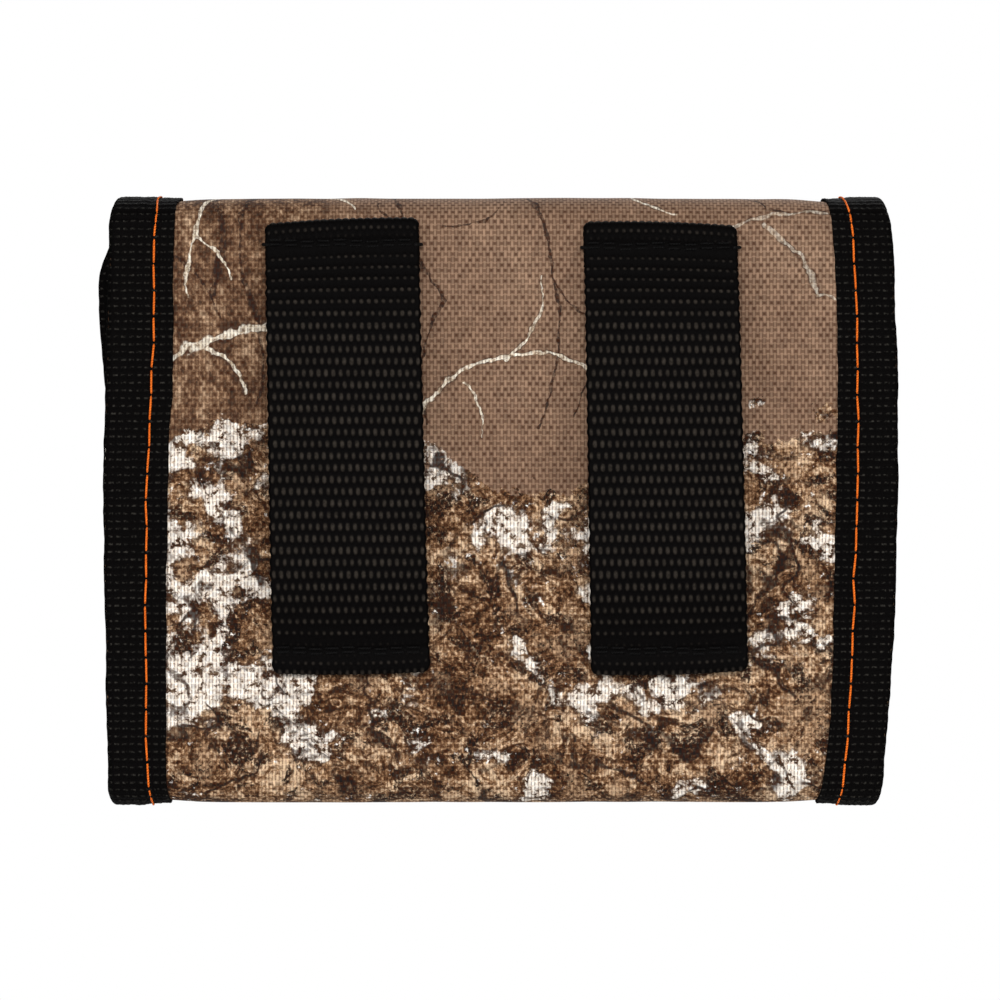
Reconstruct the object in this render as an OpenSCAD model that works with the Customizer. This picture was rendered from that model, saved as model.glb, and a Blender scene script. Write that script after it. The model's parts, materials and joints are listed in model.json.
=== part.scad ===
// Belt-worn trifold wallet of printed pack cloth.
// One padded strip folds at the top and at the bottom of the back panel: a full cover comes down
// over the front from the top fold, and a half-height flap comes up from the bottom fold.
// The frame's origin is the middle of the belt passage, midway between the two belt loops.
// +X runs along the belt, +Z is up, and +Y runs from the belt loops through the back to the cover.

/* [Wallet] */
// Width across the bound side edges
wallet_w = 130.8; // [124:0.1:140]
// Height from the top fold to the bottom fold, over the binding
wallet_h = 100.3; // [96:0.1:110]
// Thickness of the closed wallet from the back face to the cover face
closed_t = 18.6; // [18:0.1:22]
// Thickness from the back face to the outside of the lower flap
flap_fold_t = 12.7; // [12.4:0.1:13]
// Height of the lower flap above the bottom fold
flap_h = 46.9; // [40:0.1:47]
// Distance from the bottom fold up to the cover's free edge
cover_short = 3; // [2:0.5:6]

/* [Padded strip] */
// Thickness of the printed outer cloth
shell_t = 0.6; // [0.5:0.05:0.7]
// Thickness of the foam between the cloths
foam_t = 2; // [1.8:0.1:2]
// Thickness of the lining cloth
lining_t = 0.6; // [0.5:0.05:0.7]
// Outer radius of the strip where it turns at a fold
turn_r = 5; // [4.8:0.1:5.2]

/* [Edge binding and thread] */
// Width of the binding tape on each face
binding_w = 10; // [8:0.5:11]
// Thickness of the binding tape
binding_t = 0.6; // [0.5:0.05:0.7]
// Distance from the bound edge to the line of topstitching
stitch_inset = 7.4; // [6:0.1:8]
// Distance from one topstitch to the next
stitch_pitch = 4.3; // [3.5:0.1:5]
// Thickness of the sewing thread
thread_d = 0.55; // [0.4:0.05:0.7]
// How far the thread stands above the cloth
thread_proud = 0.2; // [0.15:0.05:0.25]

/* [Belt loops] */
// Width of the belt loop webbing
webbing_w = 25.4; // [20:0.1:30]
// Thickness of the belt loop webbing
webbing_t = 1.3; // [1:0.1:1.5]
// Length of each belt loop
loop_l = 74.4; // [70:0.1:80]
// Distance between the middles of the two belt loops
loop_spacing = 52.1; // [45:0.1:60]
// Gap between the back panel and the middle of a belt loop
belt_gap = 4.6; // [4.3:0.1:5]
// Distance from the end of a loop to the stitching that holds it
tack_inset = 4.3; // [3.5:0.1:5]
// Length over which a loop rises from the back panel
loop_rise = 12.5; // [10:0.5:14]
// How far the middle of the loops lies above the middle of the wallet
loops_up = 8.85; // [6:0.05:10]
// How far the middle of the loops lies to the right of the middle of the wallet
loops_right = 0.93; // [0:0.01:2]

/* [Inside] */
// Number of cartridge loops in the elastic
elastic_loops = 7; // [5:1:7]
// Distance from one cartridge loop to the next
elastic_pitch = 15; // [14:0.1:15]
// Width of the elastic band
elastic_w = 38; // [30:1:40]
// Thickness of the elastic band
elastic_t = 1.1; // [0.9:0.1:1.1]
// Width of the sewn foot between two cartridge loops
elastic_foot = 3; // [2.5:0.1:3.2]
// Length of the hook tape and of the loop tape
tape_l = 80; // [60:1:90]
// Width of the hook tape and of the loop tape
tape_w = 16; // [12:1:16]
// Width of the licence pocket
pocket_w = 104; // [90:1:108]
// Height of the licence pocket
pocket_h = 54; // [40:1:56]
// Thickness of the clear sheet of the licence pocket
pocket_t = 0.4; // [0.3:0.05:0.5]
// Width of the tape that edges the licence pocket
pocket_tape_w = 6; // [5:0.5:8]

/* [Hidden] */
CLOTH = [0.48, 0.39, 0.31];
BLACK_TAPE = [0.06, 0.06, 0.055];
WEBBING = [0.08, 0.08, 0.075];
ORANGE = [0.86, 0.40, 0.12];
BLACK_THREAD = [0.05, 0.05, 0.05];
LINING = [0.11, 0.11, 0.11];
FOAM = [0.30, 0.30, 0.31];
VINYL = [0.80, 0.84, 0.86, 0.45];

$fn = 96;

// Depths below the outer face of the strip.
strip_t = shell_t + foam_t + lining_t;
foam_d = shell_t;
lining_d = shell_t + foam_t;

// Faces of the closed wallet.
face_y = belt_gap / 2;
cover_y = face_y + closed_t;
flap_y = face_y + flap_fold_t;
lining_y = face_y + strip_t;
mid_x = -loops_right;
mid_z = -loops_up;
top_z = mid_z + wallet_h / 2 - binding_t;
bottom_z = mid_z - wallet_h / 2 + binding_t;
top_turn_z = top_z - turn_r;
bottom_turn_z = bottom_z + turn_r;
cover_end_z = bottom_z - binding_t + cover_short;
flap_end_z = bottom_z + flap_h;
strip_edge = wallet_w / 2 - binding_t;
bound_edge = wallet_w / 2;
binding_edge = wallet_w / 2 - binding_w;

// Each corner of a fold is shared by two bodies, with a small gap at its middle for the hinge.
turn_sweep = 40;

// Gap between layers that rest on each other in the closed wallet.
rest_clear = 0.3;
elastic_rise = flap_fold_t - 2 * strip_t - binding_t - rest_clear;
tape_t = (closed_t - strip_t - flap_fold_t - 2 * thread_proud - rest_clear) / 2;
tape_above = 2;
tape_z = cover_end_z + binding_w + tape_above;
hook_y = cover_y - strip_t;
pocket_below = 4;
pocket_z = top_turn_z - pocket_below - pocket_h;
stitch_space = 1;
stitch_l = stitch_pitch - stitch_space;

// The cover's stitches are sunk, so that the wallet lies flat on its cover.
cover_thread_y = cover_y + binding_t;

// A slab of the strip: from x0 to x1, y0 to y1 and z0 to z1, about the middle of the wallet.
module slab(x, y, z) {
    translate([mid_x + x[0], y[0], z[0]])
        cube([x[1] - x[0], y[1] - y[0], z[1] - z[0]]);
}

// A bent stretch of the strip, from the flat stretch at angle start to the hinge at its corner.
// Angles run from +Y towards +Z about the centre of the turn, and way is 1 or -1.
module turn(y, z, start, way, depths, x) {
    translate([mid_x, y, z])
        rotate([90, 0, 90])
            rotate([0, 0, start])
                rotate_extrude(angle = way * turn_sweep)
                    translate([turn_r - depths[1], x[0]])
                        square([depths[1] - depths[0], x[1] - x[0]]);
}

// The five stretches of the strip, each between two depths and two places across its width.
module back_stretch(d, x) {
    slab(x, [face_y + d[0], face_y + d[1]], [bottom_turn_z, top_turn_z]);
    turn(face_y + turn_r, top_turn_z, 180, -1, d, x);
    turn(face_y + turn_r, bottom_turn_z, 180, 1, d, x);
}

module top_stretch(d, x) {
    slab(x, [face_y + turn_r, cover_y - turn_r], [top_z - d[1], top_z - d[0]]);
    turn(face_y + turn_r, top_turn_z, 90, 1, d, x);
    turn(cover_y - turn_r, top_turn_z, 90, -1, d, x);
}

module cover_stretch(d, x, end_z) {
    slab(x, [cover_y - d[1], cover_y - d[0]], [end_z, top_turn_z]);
    turn(cover_y - turn_r, top_turn_z, 0, 1, d, x);
}

module bottom_stretch(d, x) {
    slab(x, [face_y + turn_r, flap_y - turn_r], [bottom_z + d[0], bottom_z + d[1]]);
    turn(face_y + turn_r, bottom_turn_z, 270, -1, d, x);
    turn(flap_y - turn_r, bottom_turn_z, 270, 1, d, x);
}

module flap_stretch(d, x, end_z) {
    slab(x, [flap_y - d[1], flap_y - d[0]], [bottom_turn_z, end_z]);
    turn(flap_y - turn_r, bottom_turn_z, 360, -1, d, x);
}

// Depths and widths of the three walls of a folded binding tape, and which side it is on.
outer_leg = [-binding_t, 0];
inner_leg = [strip_t, strip_t + binding_t];
edge_wall = [-binding_t, strip_t + binding_t];
leg_x = [binding_edge, bound_edge];
wall_x = [strip_edge, bound_edge];
strip_x = [-strip_edge, strip_edge];
shell_d = [0, shell_t];
foam_depths = [foam_d, lining_d];
lining_depths = [lining_d, strip_t];

module on_side(side) {
    translate([mid_x, 0, 0])
        mirror([side < 0 ? 1 : 0, 0, 0])
            translate([-mid_x, 0, 0])
                children();
}

// A line of stitches on a face that looks along Y: y is the cloth face and out its direction.
module stitch_column(x, y, out, z0, z1) {
    count = floor((z1 - z0) / stitch_pitch);
    first = (z0 + z1 - (count - 1) * stitch_pitch - stitch_l) / 2;
    for (i = [0 : count - 1])
        translate([mid_x + x - thread_d / 2, out > 0 ? y : y - thread_proud, first + i * stitch_pitch])
            cube([thread_d, thread_proud, stitch_l]);
}

module stitch_line(z, y, out, x0, x1) {
    count = floor((x1 - x0) / stitch_pitch);
    first = (x0 + x1 - (count - 1) * stitch_pitch - stitch_l) / 2;
    for (i = [0 : count - 1])
        translate([mid_x + first + i * stitch_pitch, out > 0 ? y : y - thread_proud, z - thread_d / 2])
            cube([stitch_l, thread_proud, thread_d]);
}

// Back panel, with the belt loops outside and the cartridge elastic inside.
module back_shell() {
    color(CLOTH) back_stretch(shell_d, strip_x);
}

module back_foam() {
    color(FOAM) back_stretch(foam_depths, strip_x);
}

module back_lining() {
    color(LINING) back_stretch(lining_depths, strip_x);
}

module back_binding(side) {
    color(BLACK_TAPE) on_side(side) {
        back_stretch(outer_leg, leg_x);
        back_stretch(inner_leg, leg_x);
        back_stretch(edge_wall, wall_x);
    }
}

module back_topstitch(side) {
    color(ORANGE) on_side(side)
        stitch_column(bound_edge - stitch_inset, face_y - binding_t, -1, bottom_turn_z, top_turn_z);
}

// How far a belt loop has risen at height z: 0 at its sewn ends and 1 at its free middle.
foot_z = loop_l / 2 - tack_inset;
function risen(z) = let (s = max(0, min(1, (foot_z - abs(z)) / loop_rise))) s * s * (3 - 2 * s);
low_y = face_y - 2 * webbing_t;
high_y = -belt_gap / 2 - webbing_t;
function loop_y(z) = low_y + (high_y - low_y) * risen(z);
rise_steps = 10;
rise_z = [for (i = [0 : rise_steps]) foot_z - loop_rise * i / rise_steps];
loop_z = concat([-loop_l / 2], [for (i = [0 : rise_steps]) -rise_z[i]],
    [for (i = [rise_steps : -1 : 0]) rise_z[i]], [loop_l / 2]);

// The ends of the webbing are turned under, to the third step of the rise.
pad_steps = 3;
pad_z = rise_z[pad_steps];
free_z = [for (z = loop_z) if (abs(z) <= pad_z) z];

module loop_outline() {
    last = len(free_z) - 1;
    polygon(concat([for (z = loop_z) [loop_y(z), z]],
        [[face_y, loop_l / 2], [face_y, pad_z]],
        [for (i = [last : -1 : 0]) [loop_y(free_z[i]) + webbing_t, free_z[i]]],
        [[face_y, -pad_z], [face_y, -loop_l / 2]]));
}

module belt_loop(side) {
    color(WEBBING)
        translate([side * loop_spacing / 2 - webbing_w / 2, 0, 0])
            rotate([90, 0, 90])
                linear_extrude(webbing_w)
                    loop_outline();
}

tack_rows = [0.4, 1.5];

module belt_loop_stitches(side) {
    color(BLACK_THREAD)
        for (end = [-1, 1])
            for (row = tack_rows)
                stitch_line(end * (foot_z + row), low_y, -1,
                    side * loop_spacing / 2 - webbing_w / 2 - mid_x,
                    side * loop_spacing / 2 + webbing_w / 2 - mid_x);
}

// A raised block with two round top edges along Z, past the band's ends and below its foot by extra.
module raised(w, h, r, extra) {
    length = elastic_w + 2 * extra;
    translate([-w / 2, -extra, -extra])
        cube([w, h - r + extra, length]);
    translate([-w / 2 + r, 0, -extra])
        cube([w - 2 * r, h, length]);
    for (side = [-1, 1])
        translate([side * (w / 2 - r), h - r, -extra])
            cylinder(r = r, h = length);
}

elastic_x0 = -elastic_loops * elastic_pitch / 2;
arch_w = elastic_pitch - elastic_foot;
arch_r = 2.4;

module cartridge_elastic() {
    foot_w = elastic_foot + elastic_t;
    color(WEBBING)
        translate([mid_x, lining_y, mid_z - elastic_w / 2]) {
            for (i = [0 : elastic_loops - 1])
                translate([elastic_x0 + (i + 0.5) * elastic_pitch, 0])
                    difference() {
                        raised(arch_w, elastic_rise, arch_r, 0);
                        raised(arch_w - 2 * elastic_t, elastic_rise - elastic_t, arch_r - elastic_t, 1);
                    }
            for (i = [0 : elastic_loops])
                translate([elastic_x0 + i * elastic_pitch - foot_w / 2, 0, 0])
                    cube([foot_w, elastic_t, elastic_w]);
        }
}

module elastic_stitches() {
    color(BLACK_THREAD)
        for (i = [0 : elastic_loops])
            stitch_column(elastic_x0 + i * elastic_pitch, lining_y + elastic_t, 1,
                mid_z - elastic_w / 2, mid_z + elastic_w / 2);
}

// Top fold: the spine between the back panel and the cover.
module top_fold_shell() {
    color(CLOTH) top_stretch(shell_d, strip_x);
}

module top_fold_foam() {
    color(FOAM) top_stretch(foam_depths, strip_x);
}

module top_fold_lining() {
    color(LINING) top_stretch(lining_depths, strip_x);
}

module top_fold_binding(side) {
    color(BLACK_TAPE) on_side(side) {
        top_stretch(outer_leg, leg_x);
        top_stretch(inner_leg, leg_x);
        top_stretch(edge_wall, wall_x);
    }
}

// Stitches across a fold, on its outermost face.
module fold_stitches(z, out_y, count) {
    for (side = [-1, 1])
        for (i = [0 : count - 1])
            translate([
                mid_x + side * (bound_edge - stitch_inset) - thread_d / 2,
                out_y + (i - count / 2) * stitch_pitch + stitch_space / 2,
                z
            ])
                cube([thread_d, stitch_l, thread_proud]);
}

module top_fold_topstitch() {
    color(ORANGE)
        fold_stitches(top_z + binding_t, (face_y + cover_y) / 2, 2);
}

// Cover, with the licence pocket and the hook tape on its inner face.
module cover_shell() {
    color(CLOTH) cover_stretch(shell_d, strip_x, cover_end_z + binding_t);
}

module cover_foam() {
    color(FOAM) cover_stretch(foam_depths, strip_x, cover_end_z + binding_t);
}

module cover_lining() {
    color(LINING) cover_stretch(lining_depths, strip_x, cover_end_z + binding_t);
}

// The stitches are cut out of the tape that they sink into.
module cover_side_thread() {
    stitch_column(bound_edge - stitch_inset, cover_thread_y, -1, cover_end_z + binding_w, top_turn_z);
}

module cover_end_thread() {
    stitch_line(cover_end_z + stitch_inset, cover_thread_y, -1, -binding_edge, binding_edge);
}

module cover_binding(side) {
    color(BLACK_TAPE) on_side(side)
        difference() {
            union() {
                cover_stretch(outer_leg, leg_x, cover_end_z);
                cover_stretch(inner_leg, leg_x, cover_end_z);
                cover_stretch(edge_wall, wall_x, cover_end_z);
                slab([binding_edge, bound_edge], [cover_y - strip_t - binding_t, cover_y + binding_t],
                    [cover_end_z, cover_end_z + binding_t]);
            }
            cover_side_thread();
        }
}

module cover_binding_end() {
    inner_x = [-binding_edge, binding_edge];
    color(BLACK_TAPE)
        difference() {
            slab(inner_x, [cover_y - strip_t - binding_t, cover_y + binding_t],
                [cover_end_z, cover_end_z + binding_w]);
            slab(inner_x, [cover_y - strip_t, cover_y],
                [cover_end_z + binding_t, cover_end_z + binding_w]);
            cover_end_thread();
        }
}

module cover_topstitch() {
    color(ORANGE) {
        on_side(-1) cover_side_thread();
        on_side(1) cover_side_thread();
        cover_end_thread();
    }
}

// A strip of hook or loop tape on a face that looks along Y.
module fastener(y, out) {
    slab([-tape_l / 2, tape_l / 2], out > 0 ? [y, y + tape_t] : [y - tape_t, y],
        [tape_z, tape_z + tape_w]);
}

tape_stitch_inset = 1.5;

module fastener_stitches(y, out) {
    for (z = [tape_z + tape_stitch_inset, tape_z + tape_w - tape_stitch_inset])
        stitch_line(z, y + out * tape_t, out, -tape_l / 2, tape_l / 2);
}

module hook_tape() {
    color(BLACK_TAPE) fastener(hook_y, -1);
}

module hook_tape_stitches() {
    color(BLACK_THREAD) fastener_stitches(hook_y, -1);
}

module licence_pocket() {
    color(VINYL)
        slab([-pocket_w / 2, pocket_w / 2], [hook_y - pocket_t, hook_y], [pocket_z, pocket_z + pocket_h]);
}

pocket_y = hook_y - pocket_t;

module licence_pocket_tape() {
    side_x = pocket_w / 2 - pocket_tape_w;
    color(BLACK_TAPE)
        difference() {
            slab([-pocket_w / 2, pocket_w / 2], [pocket_y - binding_t, pocket_y],
                [pocket_z, pocket_z + pocket_h]);
            slab([-side_x, side_x], [pocket_y - 2 * binding_t, pocket_y + binding_t],
                [pocket_z + pocket_tape_w, pocket_z + pocket_h + 1]);
        }
}

module licence_pocket_stitches() {
    color(BLACK_THREAD) {
        for (side = [-1, 1])
            stitch_column(side * (pocket_w - pocket_tape_w) / 2, pocket_y - binding_t, -1,
                pocket_z + pocket_tape_w, pocket_z + pocket_h);
        stitch_line(pocket_z + pocket_tape_w / 2, pocket_y - binding_t, -1,
            -pocket_w / 2 + pocket_tape_w, pocket_w / 2 - pocket_tape_w);
    }
}

// Bottom fold: the spine between the back panel and the lower flap.
module bottom_fold_shell() {
    color(CLOTH) bottom_stretch(shell_d, strip_x);
}

module bottom_fold_foam() {
    color(FOAM) bottom_stretch(foam_depths, strip_x);
}

module bottom_fold_lining() {
    color(LINING) bottom_stretch(lining_depths, strip_x);
}

module bottom_fold_binding(side) {
    color(BLACK_TAPE) on_side(side) {
        bottom_stretch(outer_leg, leg_x);
        bottom_stretch(inner_leg, leg_x);
        bottom_stretch(edge_wall, wall_x);
    }
}

module bottom_fold_topstitch() {
    color(ORANGE)
        fold_stitches(bottom_z - binding_t - thread_proud, (face_y + flap_y) / 2, 1);
}

// Lower flap, with the loop tape on its outer face.
module lower_flap_shell() {
    color(CLOTH) flap_stretch(shell_d, strip_x, flap_end_z - binding_t);
}

module lower_flap_foam() {
    color(FOAM) flap_stretch(foam_depths, strip_x, flap_end_z - binding_t);
}

module lower_flap_lining() {
    color(LINING) flap_stretch(lining_depths, strip_x, flap_end_z - binding_t);
}

module lower_flap_binding(side) {
    color(BLACK_TAPE) on_side(side) {
        flap_stretch(outer_leg, leg_x, flap_end_z);
        flap_stretch(inner_leg, leg_x, flap_end_z);
        flap_stretch(edge_wall, wall_x, flap_end_z);
        slab([binding_edge, bound_edge], [flap_y - strip_t - binding_t, flap_y + binding_t],
            [flap_end_z - binding_t, flap_end_z]);
    }
}

module lower_flap_binding_end() {
    inner_x = [-binding_edge, binding_edge];
    color(BLACK_TAPE)
        difference() {
            slab(inner_x, [flap_y - strip_t - binding_t, flap_y + binding_t],
                [flap_end_z - binding_w, flap_end_z]);
            slab(inner_x, [flap_y - strip_t, flap_y],
                [flap_end_z - binding_w, flap_end_z - binding_t]);
        }
}

module lower_flap_topstitch() {
    thread_y = flap_y + binding_t;
    color(ORANGE) {
        for (side = [-1, 1])
            stitch_column(side * (bound_edge - stitch_inset), thread_y, 1,
                bottom_turn_z, flap_end_z - binding_w);
        stitch_line(flap_end_z - stitch_inset, thread_y, 1, -binding_edge, binding_edge);
    }
}

module loop_tape() {
    color(BLACK_TAPE) fastener(flap_y, 1);
}

module loop_tape_stitches() {
    color(BLACK_THREAD) fastener_stitches(flap_y, 1);
}

back_shell();
back_foam();
back_lining();
back_binding(-1);  // back_binding_left
back_binding(1);  // back_binding_right
back_topstitch(-1);  // back_topstitch_left
back_topstitch(1);  // back_topstitch_right
belt_loop(-1);  // belt_loop_left
belt_loop(1);  // belt_loop_right
belt_loop_stitches(-1);  // belt_loop_stitches_left
belt_loop_stitches(1);  // belt_loop_stitches_right
cartridge_elastic();
elastic_stitches();
top_fold_shell();
top_fold_foam();
top_fold_lining();
top_fold_binding(-1);  // top_fold_binding_left
top_fold_binding(1);  // top_fold_binding_right
top_fold_topstitch();
cover_shell();
cover_foam();
cover_lining();
cover_binding(-1);  // cover_binding_left
cover_binding(1);  // cover_binding_right
cover_binding_end();
cover_topstitch();
hook_tape();
hook_tape_stitches();
licence_pocket();
licence_pocket_tape();
licence_pocket_stitches();
bottom_fold_shell();
bottom_fold_foam();
bottom_fold_lining();
bottom_fold_binding(-1);  // bottom_fold_binding_left
bottom_fold_binding(1);  // bottom_fold_binding_right
bottom_fold_topstitch();
lower_flap_shell();
lower_flap_foam();
lower_flap_lining();
lower_flap_binding(-1);  // lower_flap_binding_left
lower_flap_binding(1);  // lower_flap_binding_right
lower_flap_binding_end();
lower_flap_topstitch();
loop_tape();
loop_tape_stitches();
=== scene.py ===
"""Looks of a belt-worn trifold wallet: printed cloth, ribbed binding, stitching, belt loops and lining."""

import json
import math
from collections import namedtuple
from functools import partialmethod

import bpy
import numpy as np
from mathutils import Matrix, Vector


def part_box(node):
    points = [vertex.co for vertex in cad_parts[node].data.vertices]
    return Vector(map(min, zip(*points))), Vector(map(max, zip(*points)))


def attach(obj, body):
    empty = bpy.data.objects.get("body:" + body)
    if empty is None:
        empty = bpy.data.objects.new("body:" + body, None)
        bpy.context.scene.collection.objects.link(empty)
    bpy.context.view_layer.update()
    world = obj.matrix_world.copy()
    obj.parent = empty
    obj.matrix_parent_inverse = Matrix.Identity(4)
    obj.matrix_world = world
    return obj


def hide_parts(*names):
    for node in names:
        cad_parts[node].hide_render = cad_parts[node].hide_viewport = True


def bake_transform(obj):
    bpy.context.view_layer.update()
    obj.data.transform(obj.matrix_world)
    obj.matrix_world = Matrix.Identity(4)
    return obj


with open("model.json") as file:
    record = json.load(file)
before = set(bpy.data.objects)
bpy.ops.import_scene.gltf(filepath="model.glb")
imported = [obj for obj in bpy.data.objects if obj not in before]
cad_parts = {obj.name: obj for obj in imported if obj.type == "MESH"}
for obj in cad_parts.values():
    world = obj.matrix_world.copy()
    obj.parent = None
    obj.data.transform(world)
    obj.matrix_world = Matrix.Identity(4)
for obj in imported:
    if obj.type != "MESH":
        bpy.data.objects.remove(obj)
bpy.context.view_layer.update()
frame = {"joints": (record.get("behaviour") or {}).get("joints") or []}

MM = 0.001

# --- Sizes from the frame, in millimetres ---


def box_mm(node):
    low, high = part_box(node)
    return np.array(low) / MM, np.array(high) / MM


def hinge_mm(name):
    return np.array(next(j for j in frame["joints"] if j["name"] == name)["pos_m"]) / MM


BACK_LOW, BACK_HIGH = box_mm("back_shell")
FLAP_HIGH = box_mm("lower_flap_shell")[1]
FACE_Y, COVER_Y, FLAP_Y = BACK_LOW[1], box_mm("cover_shell")[1][1], FLAP_HIGH[1]
TOP_Z, BOTTOM_Z = box_mm("top_fold_shell")[1][2], box_mm("bottom_fold_shell")[0][2]
MID_X, MID_Z = (BACK_LOW[0] + BACK_HIGH[0]) / 2, (TOP_Z + BOTTOM_Z) / 2
BINDING_T = FACE_Y - box_mm("back_binding_left")[0][1]
COVER_END_Z, FLAP_END_Z = box_mm("cover_binding_left")[0][2], FLAP_HIGH[2] + BINDING_T
# Depths below the strip's outer face: back of the cloth, front of the foam, front of the lining, whole strip.
CLOTH_D, FOAM_D, LINING_D, STRIP_T = 0.55, 0.65, 2.6, 3.2
MID_D = STRIP_T / 2

# --- Arithmetic ---


def smooth(t):
    """0 to 1 with a soft start and a soft end."""
    t = np.clip(t, 0, 1)
    return t * t * (3 - 2 * t)


def bell(distance, width):
    return np.exp(-0.5 * (distance / width) ** 2)


def signed_power(value, exponent):
    return np.sign(value) * np.abs(value) ** exponent


def placed(*columns):
    """Points from rows, or from single values, of their coordinates."""
    return np.stack(np.broadcast_arrays(*columns), -1)


def unit(rows):
    return rows / np.linalg.norm(rows, axis=1)[:, None]


def run(points):
    """How far along a line of points each of them is."""
    return np.concatenate([[0], np.cumsum(np.linalg.norm(np.diff(points, axis=0), axis=1))])


def waves(x, seed, scale, octaves=4):
    """Soft one-dimensional noise of about unit height, the same each run."""
    draw = np.random.default_rng(seed)
    total = np.zeros_like(np.asarray(x, float))
    for octave in range(octaves):
        phases, stretches = draw.uniform(0, 2 * math.pi, 3), draw.uniform(0.75, 1.35, 3)
        for phase, stretch in zip(phases, stretches):
            turns = x * stretch / (scale / 1.9 ** octave)
            total = total + 0.45 * 0.62 ** octave * np.sin(2 * math.pi * turns + phase)
    return total


# --- The strip's path, seen from the side: cover, top fold, back, bottom fold, lower flap ---

TOP_ROUND, TOP_POWER = 6.5, 2.6
BOTTOM_ROUND, BOTTOM_POWER = 5.5, 2.4
TOP_FLAT, BOTTOM_FLAT = TOP_Z - TOP_ROUND, BOTTOM_Z + BOTTOM_ROUND
PATH_STEPS = 400


def fold_points(y_from, y_to, z_flat, rise, power):
    """Half of a rounded rectangle, from one face of the wallet over a fold to the other face."""
    angle = np.linspace(0, math.pi, PATH_STEPS)[1:-1]
    y = (y_from + y_to) / 2 - (y_to - y_from) / 2 * signed_power(np.cos(angle), 2 / power)
    return placed(y, z_flat + rise * np.abs(np.sin(angle)) ** (2 / power))


def flat_points(y, z_from, z_to):
    return placed(y, np.linspace(z_from, z_to, PATH_STEPS))


PATH = np.concatenate([
    flat_points(COVER_Y, COVER_END_Z, TOP_FLAT),
    fold_points(COVER_Y, FACE_Y, TOP_FLAT, TOP_ROUND, TOP_POWER),
    flat_points(FACE_Y, TOP_FLAT, BOTTOM_FLAT),
    fold_points(FACE_Y, FLAP_Y, BOTTOM_FLAT, -BOTTOM_ROUND, BOTTOM_POWER),
    flat_points(FLAP_Y, BOTTOM_FLAT, FLAP_END_Z),
])
PATH_RUN = run(PATH)
ON_BACK = (PATH[:, 0] == FACE_Y) & (PATH[:, 1] < TOP_FLAT) & (PATH[:, 1] > BOTTOM_FLAT)
# v is the distance along the strip, upwards from the middle of the back panel.
PATH_V = np.interp(-MID_Z, -PATH[ON_BACK, 1], PATH_RUN[ON_BACK]) - PATH_RUN
PATH_WAY = np.gradient(PATH, PATH_RUN, axis=0)
PATH_NORMAL = unit(placed(PATH_WAY[:, 1], -PATH_WAY[:, 0]))


def fold_middle(in_fold, y_from, y_to):
    """Where the strip passes the middle of a fold."""
    y, v = PATH[in_fold, 0], PATH_V[in_fold]
    order = np.argsort(y)
    return float(np.interp((y_from + y_to) / 2, y[order], v[order]))


COVER_END, FLAP_END = PATH_V[0], PATH_V[-1]
TOP_V = fold_middle(PATH[:, 1] > TOP_FLAT, FACE_Y, COVER_Y)
BOTTOM_V = fold_middle(PATH[:, 1] < BOTTOM_FLAT, FACE_Y, FLAP_Y)
BACK_TOP, BACK_BOTTOM = TOP_FLAT - MID_Z - 6, BOTTOM_FLAT - MID_Z + 6

# --- Lines along the strip ---


def drawn_line(*points):
    """A smooth line through a few given points: (place along the strip, distance from its middle)."""
    points = sorted(points)
    grid = np.arange(-130, 185, 0.5)
    raw = np.interp(grid, [p[0] for p in points], [p[1] for p in points])
    kernel = bell(np.arange(-12, 13) * 0.5, 2.4)
    soft = np.convolve(np.pad(raw, 12, mode="edge"), kernel / kernel.sum(), "valid")
    return lambda v: np.interp(v, grid, soft)


# The bound edge, the binding's inner edge and the topstitching, on the left (-1) and on the right (1).
EDGE = {
    -1: drawn_line(
        (158, 64.8), (110, 65.2), (94, 65.6), (86, 66.4), (78, 66.9), (72.5, 66.9), (70.8, 64.4), (66, 64.0),
        (56, 63.1), (50, 63.8), (45, 64.2), (30, 64.5), (10, 65.0), (0, 65.2), (-16, 64.9), (-34, 64.6),
        (-45, 64.4), (-50, 64.4), (-54, 63.9), (-64, 64.3), (-84, 65.0), (-104, 64.8)),
    1: drawn_line(
        (158, 63.5), (146, 63.7), (130, 64.6), (110, 64.9), (76, 64.5), (66, 63.7), (56, 62.8), (50, 63.7),
        (44, 64.4), (33, 64.9), (22, 65.3), (8, 65.4), (-6, 65.2), (-20, 64.8), (-30, 64.2), (-40, 63.3),
        (-46, 62.9), (-50, 62.7), (-54, 62.0), (-64, 63.4), (-84, 64.8), (-104, 64.8)),
}
INNER = {
    -1: drawn_line(
        (158, 54.8), (66, 54.4), (58, 52.2), (54, 52.4), (50, 53.1), (43, 53.5), (17, 53.6), (11, 54.3),
        (0, 54.4), (-12, 54.7), (-36, 54.7), (-46, 54.8), (-50, 54.2), (-54, 54.0), (-64, 54.4),
        (-104, 54.8)),
    1: drawn_line(
        (158, 54.8), (66, 54.0), (58, 52.8), (54, 53.2), (50, 54.0), (43, 54.6), (33, 55.2), (17, 55.4),
        (2, 55.1), (-16, 54.7), (-30, 54.5), (-40, 53.8), (-46, 53.0), (-50, 52.0), (-54, 51.8), (-64, 53.2),
        (-104, 54.8)),
}
STITCH = {
    -1: drawn_line(
        (158, 57.4), (66, 57.0), (58, 55.8), (54, 56.0), (49, 56.4), (43, 56.7), (30, 56.7), (18, 57.1),
        (11, 57.5), (3, 57.9), (-16, 58.1), (-36, 58.0), (-46, 57.8), (-50, 57.2), (-54, 57.0), (-64, 57.2),
        (-104, 57.4)),
    1: drawn_line(
        (158, 57.4), (66, 56.8), (56, 56.0), (51, 56.4), (48, 57.4), (43, 57.9), (36, 58.3), (22, 58.6),
        (6, 58.7), (-4, 58.4), (-16, 58.0), (-31, 57.5), (-41, 56.8), (-46, 56.3), (-50, 55.6), (-54, 55.2),
        (-64, 56.4), (-104, 57.4)),
}


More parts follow.
